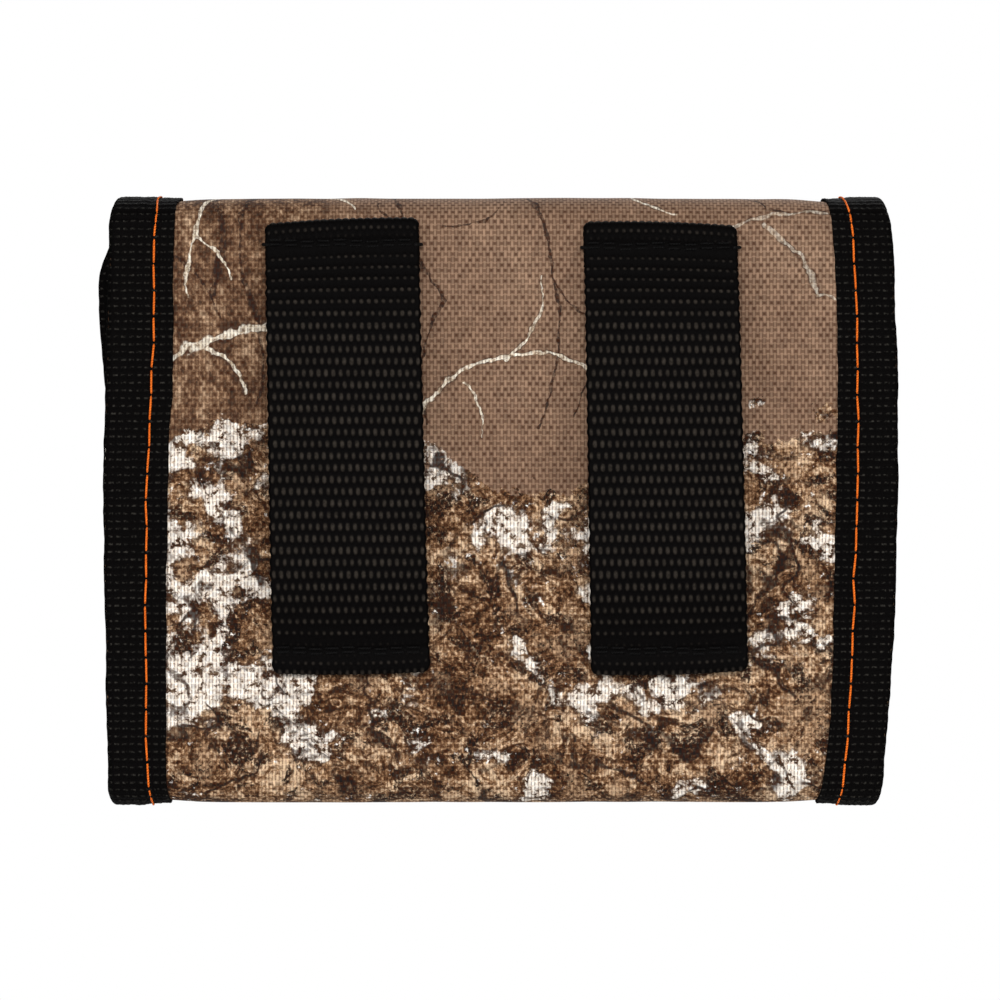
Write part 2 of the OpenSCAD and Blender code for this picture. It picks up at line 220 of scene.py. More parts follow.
def wavy(lines, size, seed, scale):
    """The lines of both sides with a slight unevenness."""
    return lambda side, v: lines[side](v) + size * waves(v, seed + side, scale)


edge_at, inner_at, stitch_at = wavy(EDGE, 0.07, 11, 17), wavy(INNER, 0.06, 21, 13), wavy(STITCH, 0.08, 31, 22)

# --- The strip itself ---

EDGE_PULL = 0.2


def squeeze(u, v):
    """How much of its thickness the padded strip keeps: the binding pulls its edges together."""
    side_edge = np.where(u < 0, EDGE[-1](v), EDGE[1](v))
    near_side = smooth((np.abs(u) - side_edge + 15) / 9)
    near_end = smooth((15 - np.minimum(COVER_END - v, v - FLAP_END)) / 9)
    return 1 - EDGE_PULL * np.maximum(near_side, near_end)


def swell(u, v):
    """Slow unevenness of the padded strip, outwards, in millimetres."""
    slow = waves(u * 0.8 + v * 0.6, 5, 61, 2) + waves(u * 0.5 - v * 0.9, 6, 43, 2)
    fine = waves(u + 0.4 * v, 7, 19, 2) * waves(v - 0.3 * u, 8, 23, 2)
    return 0.06 * slow + 0.05 * fine


def strip(u, v, depth):
    """Points of the strip, in metres: u across, v along it, depth below its outer face."""
    u, v, depth = np.broadcast_arrays(*(np.asarray(value, float) for value in (u, v, depth)))
    inwards = MID_D + (depth - MID_D) * squeeze(u, v) - swell(u, v)
    y, z, out_y, out_z = (np.interp(-v, -PATH_V, column) for column in (*PATH.T, *PATH_NORMAL.T))
    return placed(MID_X + u, y - out_y * inwards, z - out_z * inwards) * MM


# --- Mesh making ---


def make_piece(part, points, faces, material, uv=None, sharp=()):
    """A mesh object. part is its name, the CAD node that it replaces, and the stretch or the body it is on.

    uv gives each point's (across, along) in metres, and sharp the edges that stay hard. The slot has the
    material's name, which Blender numbers if the name is taken."""
    name, node, where = part
    mesh = bpy.data.meshes.new(name)
    mesh.from_pydata(np.asarray(points, float).reshape(-1, 3).tolist(), [], faces)
    mesh.shade_smooth()
    if uv is not None:
        layer = mesh.uv_layers.new(name="strip")
        corners = np.zeros(len(mesh.loops), np.int32)
        mesh.loops.foreach_get("vertex_index", corners)
        layer.data.foreach_set("uv", np.asarray(uv, np.float32).reshape(-1, 2)[corners].ravel())
    if sharp:
        hard = {tuple(sorted(edge)) for edge in sharp}
        attribute = mesh.attributes.new("sharp_edge", "BOOLEAN", "EDGE")
        attribute.data.foreach_set("value", [tuple(sorted(edge.vertices)) in hard for edge in mesh.edges])
    mesh.materials.append(material)
    piece = bpy.data.objects.new(name, mesh)
    bpy.context.scene.collection.objects.link(piece)
    if isinstance(where, str):
        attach(piece, where)
    elif where.bend:
        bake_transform(piece)
    else:
        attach(piece, where.bodies[0])
    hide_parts(node)
    return piece


def ring_faces(rows, around, start=0):
    """Four-sided faces between rings of points."""
    faces = []
    for ring in range(start, start + (rows - 1) * around, around):
        for k in range(around):
            a, b = ring + k, ring + (k + 1) % around
            faces.append((a, b, b + around, a + around))
    return faces


def end_faces(rows, around, start=0):
    last = start + (rows - 1) * around
    return [tuple(range(start, start + around))[::-1], tuple(range(last, last + around))]


def tube_piece(part, rings, uv, material, flip=False):
    """A closed piece through rings of points: rings is rows by points round each row."""
    if flip:
        rings, uv = rings[:, ::-1], uv[:, ::-1]
    rows, around = rings.shape[:2]
    faces = end_faces(rows, around)
    sharp = [pair for face in faces for pair in zip(face, face[1:] + face[:1])]
    return make_piece(part, rings, ring_faces(rows, around) + faces, material, uv, sharp)


# --- Five stretches of the strip, each with its body or the two bodies at its fold; only the back is attached to its body ---

HINGE_IN = 0.7
TOP_REACH, BOTTOM_REACH = 3.4, 2.4


# A length of the strip, with the body it rides on, or the two bodies that it bends between.
Stretch = namedtuple("Stretch", "name v_from v_to bodies bend")


def bend_line(hinge, way_y, way_z, reach):
    """Start and end of the bend at one corner of a fold, from the flat panel to the fold's middle."""
    centre = hinge_mm(hinge) * (0, 1, 1) + HINGE_IN * np.array([0, np.sign(way_y), -np.sign(way_z)])
    way = np.array([0, way_y, way_z]) * reach / math.hypot(way_y, way_z)
    return tuple((centre - way) * MM), tuple((centre + way) * MM)


BACK = Stretch("back", BACK_TOP, BACK_BOTTOM, ("back",), None)
STRETCHES = (
    Stretch("cover", COVER_END, TOP_V, ("top_fold", "cover"),
            bend_line("cover_hinge", -1, 1, TOP_REACH)[::-1]),
    Stretch("top_fold", TOP_V, BACK_TOP, ("back", "top_fold"), bend_line("top_fold_hinge", 1, 1, TOP_REACH)),
    BACK,
    Stretch("bottom_fold", BACK_BOTTOM, BOTTOM_V, ("back", "bottom_fold"),
            bend_line("bottom_fold_hinge", 0.8, -0.6, BOTTOM_REACH)),
    Stretch("lower_flap", BOTTOM_V, FLAP_END, ("bottom_fold", "lower_flap"),
            bend_line("lower_flap_hinge", -0.8, -0.6, BOTTOM_REACH)[::-1]),
)

# --- Writing node trees ---


def srgb(r, g, b):
    """A colour given as it looks on screen, 0 to 255, as the linear values that a shader takes."""
    channels = [c / 255 for c in (r, g, b)]
    return tuple(c / 12.92 if c <= 0.04045 else ((c + 0.055) / 1.055) ** 2.4 for c in channels) + (1.0,)


class Wire:
    """An output of a node. Arithmetic with wires, and their methods, add nodes to the tree."""

    def __init__(self, nodes, socket):
        self.nodes, self.socket = nodes, socket
        self.is_vector = socket.type in ("VECTOR", "RGBA")

    def reckon(self, operation, *others, output=0):
        kind = "ShaderNodeVectorMath" if self.is_vector else "ShaderNodeMath"
        return self.nodes.node(kind, dict(enumerate((self, *others))), output, operation=operation)

    __add__ = partialmethod(reckon, "ADD")
    __sub__ = partialmethod(reckon, "SUBTRACT")
    __truediv__ = partialmethod(reckon, "DIVIDE")
    __abs__ = partialmethod(reckon, "ABSOLUTE")
    max = partialmethod(reckon, "MAXIMUM")
    power = partialmethod(reckon, "POWER")
    sign = partialmethod(reckon, "SIGN")
    sin = partialmethod(reckon, "SINE")
    floor = partialmethod(reckon, "FLOOR")
    dot = partialmethod(reckon, "DOT_PRODUCT", output="Value")
    length = partialmethod(reckon, "LENGTH", output="Value")

    def __rsub__(self, number):
        return self.nodes.node("ShaderNodeMath", {0: number, 1: self}, operation="SUBTRACT")

    def __mul__(self, other):
        if self.is_vector and not isinstance(other, tuple):
            return self.nodes.node("ShaderNodeVectorMath", {0: self, "Scale": other}, operation="SCALE")
        return self.reckon("MULTIPLY", other)

    def split(self):
        sockets = self.nodes.add("ShaderNodeSeparateXYZ", {0: self}).outputs
        return [Wire(self.nodes, socket) for socket in sockets]

    def ramp(self, low, high, to_low=0.0, to_high=1.0):
        """A smooth step from to_low to to_high, as the value goes from low to high."""
        ends = {"Value": self, "From Min": low, "From Max": high, "To Min": to_low, "To Max": to_high}
        return self.nodes.node("ShaderNodeMapRange", ends, interpolation_type="SMOOTHSTEP")

    def wave(self, pitch):
        """A wave between 0 and 1 that repeats each pitch."""
        return (self * (2 * math.pi / pitch)).sin() * 0.5 + 0.5

    def noise(self, scale, detail=4.0, roughness=0.55, distortion=0.0, output="Fac"):
        names = ("Vector", "Scale", "Detail", "Roughness", "Distortion")
        inputs = dict(zip(names, (self, scale, detail, roughness, distortion)))
        return self.nodes.node("ShaderNodeTexNoise", inputs, output)

    def mix(self, low, high):
        """The colour low where this is 0, and high where it is 1."""
        return self.nodes.node("ShaderNodeMix", {0: self, 6: low, 7: high}, 2, data_type="RGBA")

    def colours(self, *stops):
        """A colour ramp with stops of (place, r, g, b)."""
        node = self.nodes.add("ShaderNodeValToRGB", {0: self})
        elements = node.color_ramp.elements
        while len(elements) < len(stops):
            elements.new(0.5)
        for element, (place, *colour) in zip(elements, stops):
            element.position, element.color = place, srgb(*colour)
        return Wire(self.nodes, node.outputs[0])


class Nodes:
    """Adds nodes to a tree."""

    def __init__(self, tree):
        self.tree = tree

    def feed(self, socket, value):
        if isinstance(value, Wire):
            self.tree.links.new(value.socket, socket)
        else:
            socket.default_value = value

    def add(self, kind, inputs, **settings):
        """A node. inputs gives a wire or a value for its sockets, by name or by number."""
        node = self.tree.nodes.new(kind)
        for key, value in settings.items():
            setattr(node, key, value)
        for key, value in inputs.items():
            self.feed(node.inputs[key], value)
        return node

    def node(self, kind, inputs, output=0, **settings):
        return Wire(self, self.add(kind, inputs, **settings).outputs[output])

    def join(self, x, y):
        return self.node("ShaderNodeCombineXYZ", {0: x, 1: y})

    def strip_mm(self):
        """The strip's own coordinates in millimetres: across, along, 0."""
        return self.node("ShaderNodeUVMap", {}, uv_map="strip") * (1 / MM)


class Material(Nodes):
    def __init__(self, name, roughness, shine):
        self.material = bpy.data.materials.new(name)
        self.material.use_nodes = True
        super().__init__(self.material.node_tree)
        self.inputs = self.tree.nodes["Principled BSDF"].inputs
        self.inputs["Roughness"].default_value = roughness
        self.inputs["Specular IOR Level"].default_value = shine

    def finish(self, colour, height=None, depth=0.0):
        """The finished material. height is 0 to 1, and depth what 1 stands for, in metres."""
        self.feed(self.inputs["Base Color"], colour)
        if height:
            bump = self.node("ShaderNodeBump", {"Strength": 1.0, "Distance": depth, "Height": height})
            self.feed(self.inputs["Normal"], bump)
        return self.material


# --- Pack cloth ---

WARP, WEFT = 0.574, 0.885


def shaken(place, scale, reach, detail=3.0):
    """place, moved about by noise of a scale and reach."""
    return place + (place.noise(scale, detail, output="Color") - (0.5, 0.5, 0.5)) * (reach, reach, 0)


def weave(place, warp=WARP, weft=WEFT):
    """A plain weave: the height of its yarns, dimples where the weft shows, and slits beside the warp, whose
    masks the materials use for painted shade.
    """
    x, y, _ = shaken(place, 0.3, 0.3, 2.0).split()
    over_warp, over_weft = (x * (math.pi / warp)).sin(), (y * (math.pi / weft)).sin()
    on_warp, on_weft = abs(over_warp), abs(over_weft)
    weft_up = over_weft * over_warp.sign() * -1.0
    dimple = weft_up.ramp(0.35, 0.9) * on_warp.ramp(0.1, 0.7)
    slit = on_warp.ramp(0.75, 0.15) * on_weft.ramp(0.0, 0.7, 0.25, 1.0)
    return 1.0 - (dimple * 0.4 + slit * 0.6), dimple, slit


def printed_cloth():
    look = Material("printed_cloth", 0.85, 0.12)
    place = look.strip_mm()
    colour = woodland_print(place)
    height, dimple, slit = weave(place)
    cell = (place * (1 / WARP, 1 / WEFT, 0)).floor()
    yarn = look.node("ShaderNodeTexWhiteNoise", {"Vector": cell}, "Value")
    colour = colour * (yarn * 0.34 + 0.8)
    # Painted shade of the weave: the dimples where the weft shows and the slits beside the warp are darkened
    # toward dark brown; depth sets how much the dimples are shaded, less on pale colours.
    depth = colour.dot((0.3, 0.6, 0.1)).ramp(0.2, 0.7, 1.0, 0.2) * yarn.ramp(0.0, 1.0, 0.76, 0.52)
    low = (dimple * depth).max(slit * 0.66)
    return look.finish(low.mix(colour, srgb(54, 20, 0)), height, 0.00012)


# --- The woodland print, in millimetres on the strip ---

BRANCH_INPUTS = {"Place": "Vector", "From": "Vector", "To": "Vector", "Bend": "Float", "Width": "Float",
                 "Taper": "Float", "Knots": "Float", "Others": "Float"}
BRANCH_EDGE = (0.87, 1.33)
# Each branch: from, to, bend, half width, taper.
PALE_BRANCHES = (
    ((-57, 21), (-36, 29), 0.08, 0.85, 0.35), ((-48, 25), (-42, 18), 0.15, 0.45, 0.5),
    ((-46, 54), (-51, 33), -0.08, 0.36, 0.4), ((-50, 43), (-44, 36), 0.1, 0.24, 0.5),
    ((-14, 13), (3, 24), 0.13, 0.44, 0.2), ((3, 24), (16, 20), 0.16, 0.36, 0.4),
    ((1, 23), (7, 37), -0.12, 0.26, 0.5), ((-6, 19), (-3, 10), 0.12, 0.22, 0.5),
    ((37, 44), (57, 47), 0.08, 0.4, 0.3), ((44, 45), (52, 33), 0.12, 0.42, 0.4),
    ((52, 33), (57, 31), 0.1, 0.26, 0.5), ((-33, 55), (-24, 48), 0.15, 0.4, 0.4),
    ((22, 55), (29, 47), -0.2, 0.3, 0.5), ((-40, 84), (-12, 70), 0.12, 0.8, 0.5),
    ((-4, 96), (30, 78), -0.1, 0.6, 0.4), ((40, 100), (22, 74), 0.1, 0.45, 0.5),
    ((-30, 104), (-18, 76), 0.14, 0.38, 0.5),
)
DARK_TWIGS = (
    ((-17, 57), (-9, 33), -0.1, 0.4, 0.3), ((-9, 33), (-12, 12), -0.1, 0.3, 0.5),
    ((-2, 57), (8, 40), 0.14, 0.42, 0.3), ((8, 40), (6, 12), 0.1, 0.32, 0.4),
    ((8, 40), (15, 30), -0.12, 0.26, 0.5), ((-9, 45), (1, 51), -0.2, 0.22, 0.5),
    ((-48, 56), (-47, 34), 0.08, 0.8, 0.4), ((-38, 56), (-42, 36), -0.12, 0.42, 0.4),
    ((-42, 36), (-40, 16), 0.1, 0.6, 0.5), ((-54, 40), (-46, 30), 0.12, 0.34, 0.5),
    ((14, 40), (12, 14), 0.1, 0.24, 0.5), ((30, 57), (44, 48), 0.14, 0.4, 0.4),
    ((44, 48), (58, 50), -0.1, 0.26, 0.5), ((-20, 50), (-14, 44), -0.2, 0.24, 0.5),
    ((-22, 90), (-6, 62), 0.12, 0.5, 0.4), ((20, 92), (8, 62), -0.1, 0.42, 0.5),
    ((48, 96), (30, 68), 0.14, 0.5, 0.5), ((-48, 98), (-38, 66), 0.1, 0.5, 0.5),
)


def branch_group():
    """A node group for a bent, tapering branch: how near a place is to it or the others, above 1 inside."""
    tree = bpy.data.node_groups.new("branch", "ShaderNodeTree")
    for label, kind in BRANCH_INPUTS.items():
        tree.interface.new_socket(label, in_out="INPUT", socket_type="NodeSocket" + kind)
    tree.interface.new_socket("Near", in_out="OUTPUT", socket_type="NodeSocketFloat")
    nodes = Nodes(tree)
    given = nodes.add("NodeGroupInput", {}).outputs
    wires = [Wire(nodes, given[label]) for label in BRANCH_INPUTS]
    place, start, end, bend, width, taper, knots, others = wires
    span, from_start = end - start, place - start
    shares = {0: from_start.dot(span), 1: span.dot(span)}
    share = nodes.node("ShaderNodeMath", shares, operation="DIVIDE", use_clamp=True)
    x, y, _ = span.split()
    bent = nodes.join(y * -1.0, x) * (share * (1.0 - share) * 4.0 * bend)
    away = from_start - (span * share + bent)
    near = width * (1.0 - share * taper) * knots / (away.length() + 0.01)
    nodes.add("NodeGroupOutput", {"Near": near.max(others)})
    return tree


def branches(group, place, rows):
    """How near a place is to the branches of a list. Their width comes and goes, as if they had knots."""
    knots = place.noise(0.4, 3.0, 0.6).ramp(0.36, 0.64, 0.55, 1.5)
    near = 0.0
    for start, end, bend, width, taper in rows:
        values = (place, (*start, 0), (*end, 0), bend, width, taper, knots, near)
        near = place.nodes.node("ShaderNodeGroup", dict(zip(BRANCH_INPUTS, values)), node_tree=group)
    return near


def ground(place):
    """Taupe ground, mottled on the left, with dark twigs and pale branches over it."""
    x, _, _ = place.split()
    soft = place.noise(0.04, 3.0)
    fine = (place * (1.0, 0.8, 1.0)).noise(0.85, 5.0, 0.72)
    middle = (place * (1.0, 0.55, 1.0)).noise(0.26, 6.0, 0.66)
    plain = soft.colours((0.32, 127, 101, 82), (0.5, 138, 111, 91), (0.68, 152, 124, 102))
    rough = (fine * 0.6 + middle * 0.5).colours(
        (0.41, 22, 14, 10), (0.50, 70, 48, 33), (0.57, 120, 90, 66), (0.70, 190, 160, 130))
    to_right = x + place.noise(0.07, 3.0) * 44.0
    colour = to_right.ramp(12.0, -12.0, 0.12, 0.92).mix(plain, rough)
    group = branch_group()
    around = shaken(shaken(place, 0.12, 3.4), 0.65, 0.6)
    dark = branches(group, around, DARK_TWIGS).ramp(*BRANCH_EDGE) * fine.ramp(0.62, 0.44, 0.35, 0.95)
    colour = dark.mix(colour, srgb(44, 32, 27))
    near = branches(group, around, PALE_BRANCHES)
    shadow = near.ramp(0.5, 0.8) * middle.ramp(0.58, 0.42, 0.1, 0.75)
    colour = shadow.mix(colour, srgb(66, 50, 42))
    pale = near.ramp(*BRANCH_EDGE) * fine.ramp(0.34, 0.48, 0.45, 1.0) * x.ramp(22.0, 44.0, 1.0, 0.5)
    return pale.mix(colour, fine.colours((0.4, 190, 170, 144), (0.6, 232, 224, 208)))


def wood(place, grain, middle, fine):
    """Tan and brown mottling with dark hollows and bare places."""
    tone = place.noise(0.07, 3.0, 0.6) * 0.5 + middle * 0.85 + fine * 0.6
    colour = tone.colours((0.80, 17, 11, 7), (0.89, 62, 40, 24), (0.98, 135, 99, 68))
    colour = tone.ramp(0.96, 1.11).mix(colour, srgb(213, 183, 150))
    hollow = grain.noise(0.19, 8.0, 0.7, 0.5).ramp(0.515, 0.565) * fine.ramp(0.66, 0.5) * 0.97
    colour = hollow.mix(colour, srgb(20, 14, 12))
    bare = place.noise(0.11, 2.0).ramp(0.54, 0.64, 0.0, 0.8) * fine.ramp(0.40, 0.54)
    return bare.mix(colour, srgb(174, 142, 111))


def lichen(place, colour, fine, speck):
    """colour under pale patches, with dark rims round them and crumbs about them; more on the left."""
    x, y, _ = place.split()
    patch = shaken(place, 0.2, 4.0).noise(0.08, 8.0, 0.6)
    patch = patch + x.ramp(-30.0, -52.0) * 0.055 - y.ramp(-26.0, -44.0) * 0.03
    rim = patch.ramp(0.515, 0.54) * speck.ramp(0.56, 0.46) * 0.8
    colour = rim.mix(colour, srgb(46, 31, 22))
    crumbs = speck.ramp(0.62, 0.65) * patch.ramp(0.44, 0.52)
    cover = (patch.ramp(0.548, 0.58) * speck.ramp(0.42, 0.46)).max(crumbs)
    pale = (fine * 0.5 + speck * 0.5).colours(
        (0.40, 178, 150, 124), (0.49, 226, 213, 198), (0.6, 246, 241, 235))
    return cover.mix(colour, pale)


def cracks(place, scale, width, keep):
    """Long crooked dark lines, where a noise passes its middle value, in the places that keep chooses."""
    return abs(place.noise(scale, 3.0, 0.55, 0.25) - 0.5).ramp(width, width * 0.3) * keep


def bark(place):
    """Rough bark: mottled wood, lichen, and furrows and cracks over both."""
    x, y, _ = shaken(place, 0.08, 6.0).split()
    grain = place.nodes.join(y * 0.3 + x, x * -0.2 + y)
    middle = (grain * (0.8, 1.0, 1.0)).noise(0.36, 8.0, 0.72, 1.1)
    fine, speck = place.noise(1.5, 4.0, 0.75), place.noise(0.62, 5.0, 0.7)
    colour = lichen(place, wood(place, grain, middle, fine), fine, speck)
    furrows = cracks(grain + (91, 37, 0), 0.085, 0.034, middle.ramp(0.56, 0.44)) * 0.8
    colour = furrows.mix(colour, srgb(40, 27, 20))
    keep = place.noise(0.06, 2.0).ramp(0.49, 0.56) * speck.ramp(0.36, 0.46)
    return (cracks(grain, 0.05, 0.019, keep) * 0.92).mix(colour, srgb(24, 18, 17))


def woodland_print(place):
    """Twigs on a taupe ground by the top fold, and rough bark with lichen further from it on both sides."""
    x, y, _ = place.split()
    ragged = (place.noise(0.05, 8.0, 0.7) - 0.5) * 58.0 + abs(y - TOP_V)
    lower = (ragged + abs(x).ramp(14.0, 42.0) * 8.5).ramp(51.2, 51.9)
    return lower.mix(ground(place), bark(place))


# --- The other materials ---

RIB_PITCH = 1.26


def binding_material():
    """Ribbed woven tape: ribs across the tape, each made of short floats."""
    look = Material("binding_tape", 0.7, 0.02)
    place = look.strip_mm()
    x, y, _ = place.split()
    ribs = y.wave(RIB_PITCH)
    floats = ribs.ramp(0.72, 0.98) * x.wave(1.3).ramp(0.1, 0.5)
    height = floats * 0.5 + (place * (3.0, 14.0, 1.0)).noise(1.0, 3.0) * 0.25 + ribs * 0.6
    # Painted highlight: the floats on the ribs are painted a light grey over the near-black tape.
    tone = floats * place.noise(1.6, 5.0, 0.7).ramp(0.42, 0.66)
    return look.finish(tone.mix(srgb(6, 5, 5), srgb(50, 48, 44)), height, 0.00012)


def thread_material(name, base, light):
    """Twisted sewing thread; its mesh coordinates run round and along the thread."""
    look = Material(name, 0.5, 0.05)
    place = look.strip_mm()
    x, y, _ = place.split()
    ply = (y + x * 0.55).wave(0.42)
    # Painted light and shade on the plies: light on their crowns, shaded toward base in the grooves between
    # them.
    colour = ((1.0 - ply) * 0.45).mix(light, base)
    colour = place.noise(1.1, 2.0).ramp(0.62, 0.4, 0.0, 0.35).mix(colour, base)
    return look.finish(colour, ply, 0.00008)


def webbing_material():
    look = Material("webbing", 0.6, 0.02)
    place = look.strip_mm()
    height = look.node("ShaderNodeAttribute", {}, "Fac", attribute_name="float_height")
    # Painted highlight and shade: the crowns of the floats, by their float_height, are painted light grey,
    # and the hollows between them near black.
    lift = height.ramp(0.38, 0.95) * place.noise(1.5, 4.0, 0.7).ramp(0.3, 0.62, 0.4, 1.0)
    fibres = (place * (11.0, 1.2, 1.0)).noise(1.0, 3.0)
    return look.finish(lift.mix(srgb(6, 5, 5), srgb(50, 45, 40)), fibres, 0.00007)


def lining_material():
    look = Material("lining_cloth", 0.62, 0.25)
    place = look.strip_mm()
    height, _, slit = weave(place, 0.34, 0.34)
    base = place.noise(0.06, 3.0).ramp(0.35, 0.7).mix(srgb(24, 24, 25), srgb(36, 36, 38))
    # Painted shade: the slits between the yarns are darkened toward near black.
    return look.finish((slit * 0.6).mix(base, srgb(8, 8, 8)), height, 0.00005)


def speckled(name, roughness, shine, noise, base, light, depth=0.0, ends=None, **uniform):
    """Mottled between two colours by noise in the piece's own space. uniform is for the shader's sockets."""
    look = Material(name, roughness, shine)
    for key, value in uniform.items():
        look.inputs[key.replace("_", " ")].default_value = value
    speck = look.node("ShaderNodeTexCoord", {}, "Object").noise(*noise)
    tone = speck.ramp(*ends) if ends else speck
    return look.finish(tone.mix(srgb(*base), srgb(*light)), speck if depth else None, depth)


CORD_PITCH = 1.05


def elastic_material():
    look = Material("elastic", 0.7, 0.15)
    place = look.strip_mm()
    x, y, _ = place.split()
    cords = x.wave(CORD_PITCH)
    height = cords.power(0.6) * (y.wave(0.5) * 0.35 + 0.65)
    # Painted highlight and shade: the crowns of the cords are painted light grey, the grooves between them
    # near black.
    tone = height * place.noise(1.4, 4.0, 0.7).ramp(0.3, 0.7, 0.4, 1.0)
    return look.finish(tone.mix(srgb(10, 10, 10), srgb(46, 45, 44)), height, 0.00015)


PRINT, BINDING, WEBBING = printed_cloth(), binding_material(), webbing_material()
ORANGE = thread_material("orange_thread", srgb(176, 66, 10), srgb(246, 122, 40))
BLACK = thread_material("black_thread", srgb(5, 5, 5), srgb(15, 14, 14))
LINING = lining_material()
FOAM = speckled("foam", 0.9, 0.3, (2600.0, 3.0), (96, 96, 98), (150, 150, 152), 0.0001)

# --- Cloth, foam and lining ---


def layer_piece(stretch, name, node, material, outer_d, inner_d, margin=0.35, step=0.9, relief=None):
    """One layer of a stretch as a thin closed solid, from side to side. relief lifts its outer face."""
    v_from, v_to = min(stretch.v_from, COVER_END - 0.8), max(stretch.v_to, FLAP_END + 0.8)
    v = np.linspace(v_from, v_to, max(4, int((v_from - v_to) / step) + 1))[:, None]
    low, high = margin - edge_at(-1, v), edge_at(1, v) - margin
    u = low + (high - low) * np.linspace(0, 1, 130)
    v = np.broadcast_to(v, u.shape)
    lift = relief(u, v) if relief else 0.0
    round_off = 0.12 * (1 - smooth(np.minimum(u - low, high - u) / 0.5))
    outer, inner = strip(u, v, outer_d - lift + round_off), strip(u, v, inner_d - lift * 0.3 - round_off)
    rings = np.concatenate([outer, inner[:, ::-1]], 1)
    uv = placed(u, v) * MM
    part = (f"{stretch.name}_{name}", f"{stretch.name}_{node}", stretch)
    return tube_piece(part, rings, np.concatenate([uv, uv[:, ::-1]], 1), material)


def puff(u, v):
    """The cloth stands a little prouder away from the binding."""
    return 0.06 + 0.16 * smooth(np.minimum(u + inner_at(-1, v), inner_at(1, v) - u) / 9)


def cut_size(stretch, depth):
    """Width and length, in metres, of the flat cut of one layer of a stretch."""
    line = strip(0.0, np.linspace(stretch.v_from, stretch.v_to, 200), depth)
    return (BACK_HIGH[0] - BACK_LOW[0]) * MM, float(run(line)[-1])


def make_layers(stretch):
    cloth = layer_piece(stretch, "cloth", "shell", PRINT, 0.0, CLOTH_D, relief=puff)
    foam = layer_piece(stretch, "padding", "foam", FOAM, FOAM_D, LINING_D - 0.1, margin=0.8, step=2.0)
    lining = layer_piece(stretch, "inner_cloth", "lining", LINING, LINING_D, STRIP_T, step=1.5)
    cut_size(stretch, 0.0)
    cut_size(stretch, STRIP_T)


# --- Binding ---

BINDING_TOP = 0.06 - BINDING_T
BACK_LEG = 10.0
TURN_R = 1.25
DIP_DEPTH, DIP_WIDTH = 0.13, 0.55
END_STITCH_IN = 7.4


def fold_lift(v, from_inner=BACK_LEG):
    """How much prouder than the cloth the folded tape stands round the two folds; least at its inner edge."""
    lift = 0.75 * bell(v - BOTTOM_V, 5) + 0.55 * bell(v - TOP_V, 6)
    return lift * (0.1 + 0.9 * smooth(from_inner / 5))


def leg(start, end, shares, depth, shows):
    return [(start + share * (end - start), depth, shows) for share in shares]


def binding_section(inner, edge, back_inner):
    """Round the folded tape: distance from the middle, depth, and 1 where the tape shows, of each point."""
    turn_at, under = edge - TURN_R, -0.04
    far_top, far_under = STRIP_T - BINDING_TOP, STRIP_T - under
    angles = np.radians(np.linspace(-90, 90, 15)[1:-1])
    points = leg(inner, turn_at, np.linspace(0.012, 1, 48), BINDING_TOP, 1)
    half = MID_D - BINDING_TOP
    points += [(turn_at + TURN_R * math.cos(a) ** 0.8, MID_D + half * math.sin(a), 1) for a in angles]
    points += leg(back_inner, turn_at, np.linspace(1, 0.012, 16), far_top, 1)
    points += [(back_inner, far_top - 0.2, 1), (back_inner, far_under + 0.05, 0)]
    points += leg(back_inner, turn_at, (0.03, 0.5, 1), far_under, 0)
    points += [(edge - 0.75, MID_D + 0.9 * share, 0) for share in (0.8, 0, -0.8)]
    points += leg(inner, turn_at, (1, 0.5, 0.03), under, 0)
    points += [(inner, under - 0.05, 0), (inner, BINDING_TOP + 0.2, 1)]
    return [np.stack(np.broadcast_arrays(*column), -1).astype(float) for column in zip(*points)]


def side_binding(stretch, side, word):
    v = np.linspace(stretch.v_from, stretch.v_to, int((stretch.v_from - stretch.v_to) / 0.21) + 2)
    inner, edge = inner_at(side, v), edge_at(side, v)
    section = binding_section(inner, edge, edge - BACK_LEG + 0.1 * waves(v, 41 + side, 15))
    columns = [row[:, None] for row in (v, inner, stitch_at(side, v))]
    u, depth, shows, v, inner, stitch = np.broadcast_arrays(*section, *columns)
    front = depth < MID_D
    dip = DIP_DEPTH * bell(u - stitch, DIP_WIDTH)
    rib = 0.055 * np.cos(2 * math.pi * v / RIB_PITCH)
    weave_bumps = 0.035 * np.cos(2 * math.pi * u / 0.9 + math.pi * np.round(v / RIB_PITCH))
    crown = 0.05 * waves(v + 3 * u, 51 + side, 9, 2) + fold_lift(v, u - inner) * front
    depth = depth + np.where(front, -1.0, 1.0) * shows * (rib + crown + weave_bumps - dip)
    steps = np.linalg.norm(np.diff(placed(u, depth), axis=1), axis=2)
    across = np.pad(np.cumsum(steps, axis=1), ((0, 0), (1, 0)))
    part = (f"{stretch.name}_tape_{word}", f"{stretch.name}_binding_{word}", stretch)
    tube_piece(part, strip(side * u, v, depth), placed(across, v) * MM, BINDING, flip=side > 0)


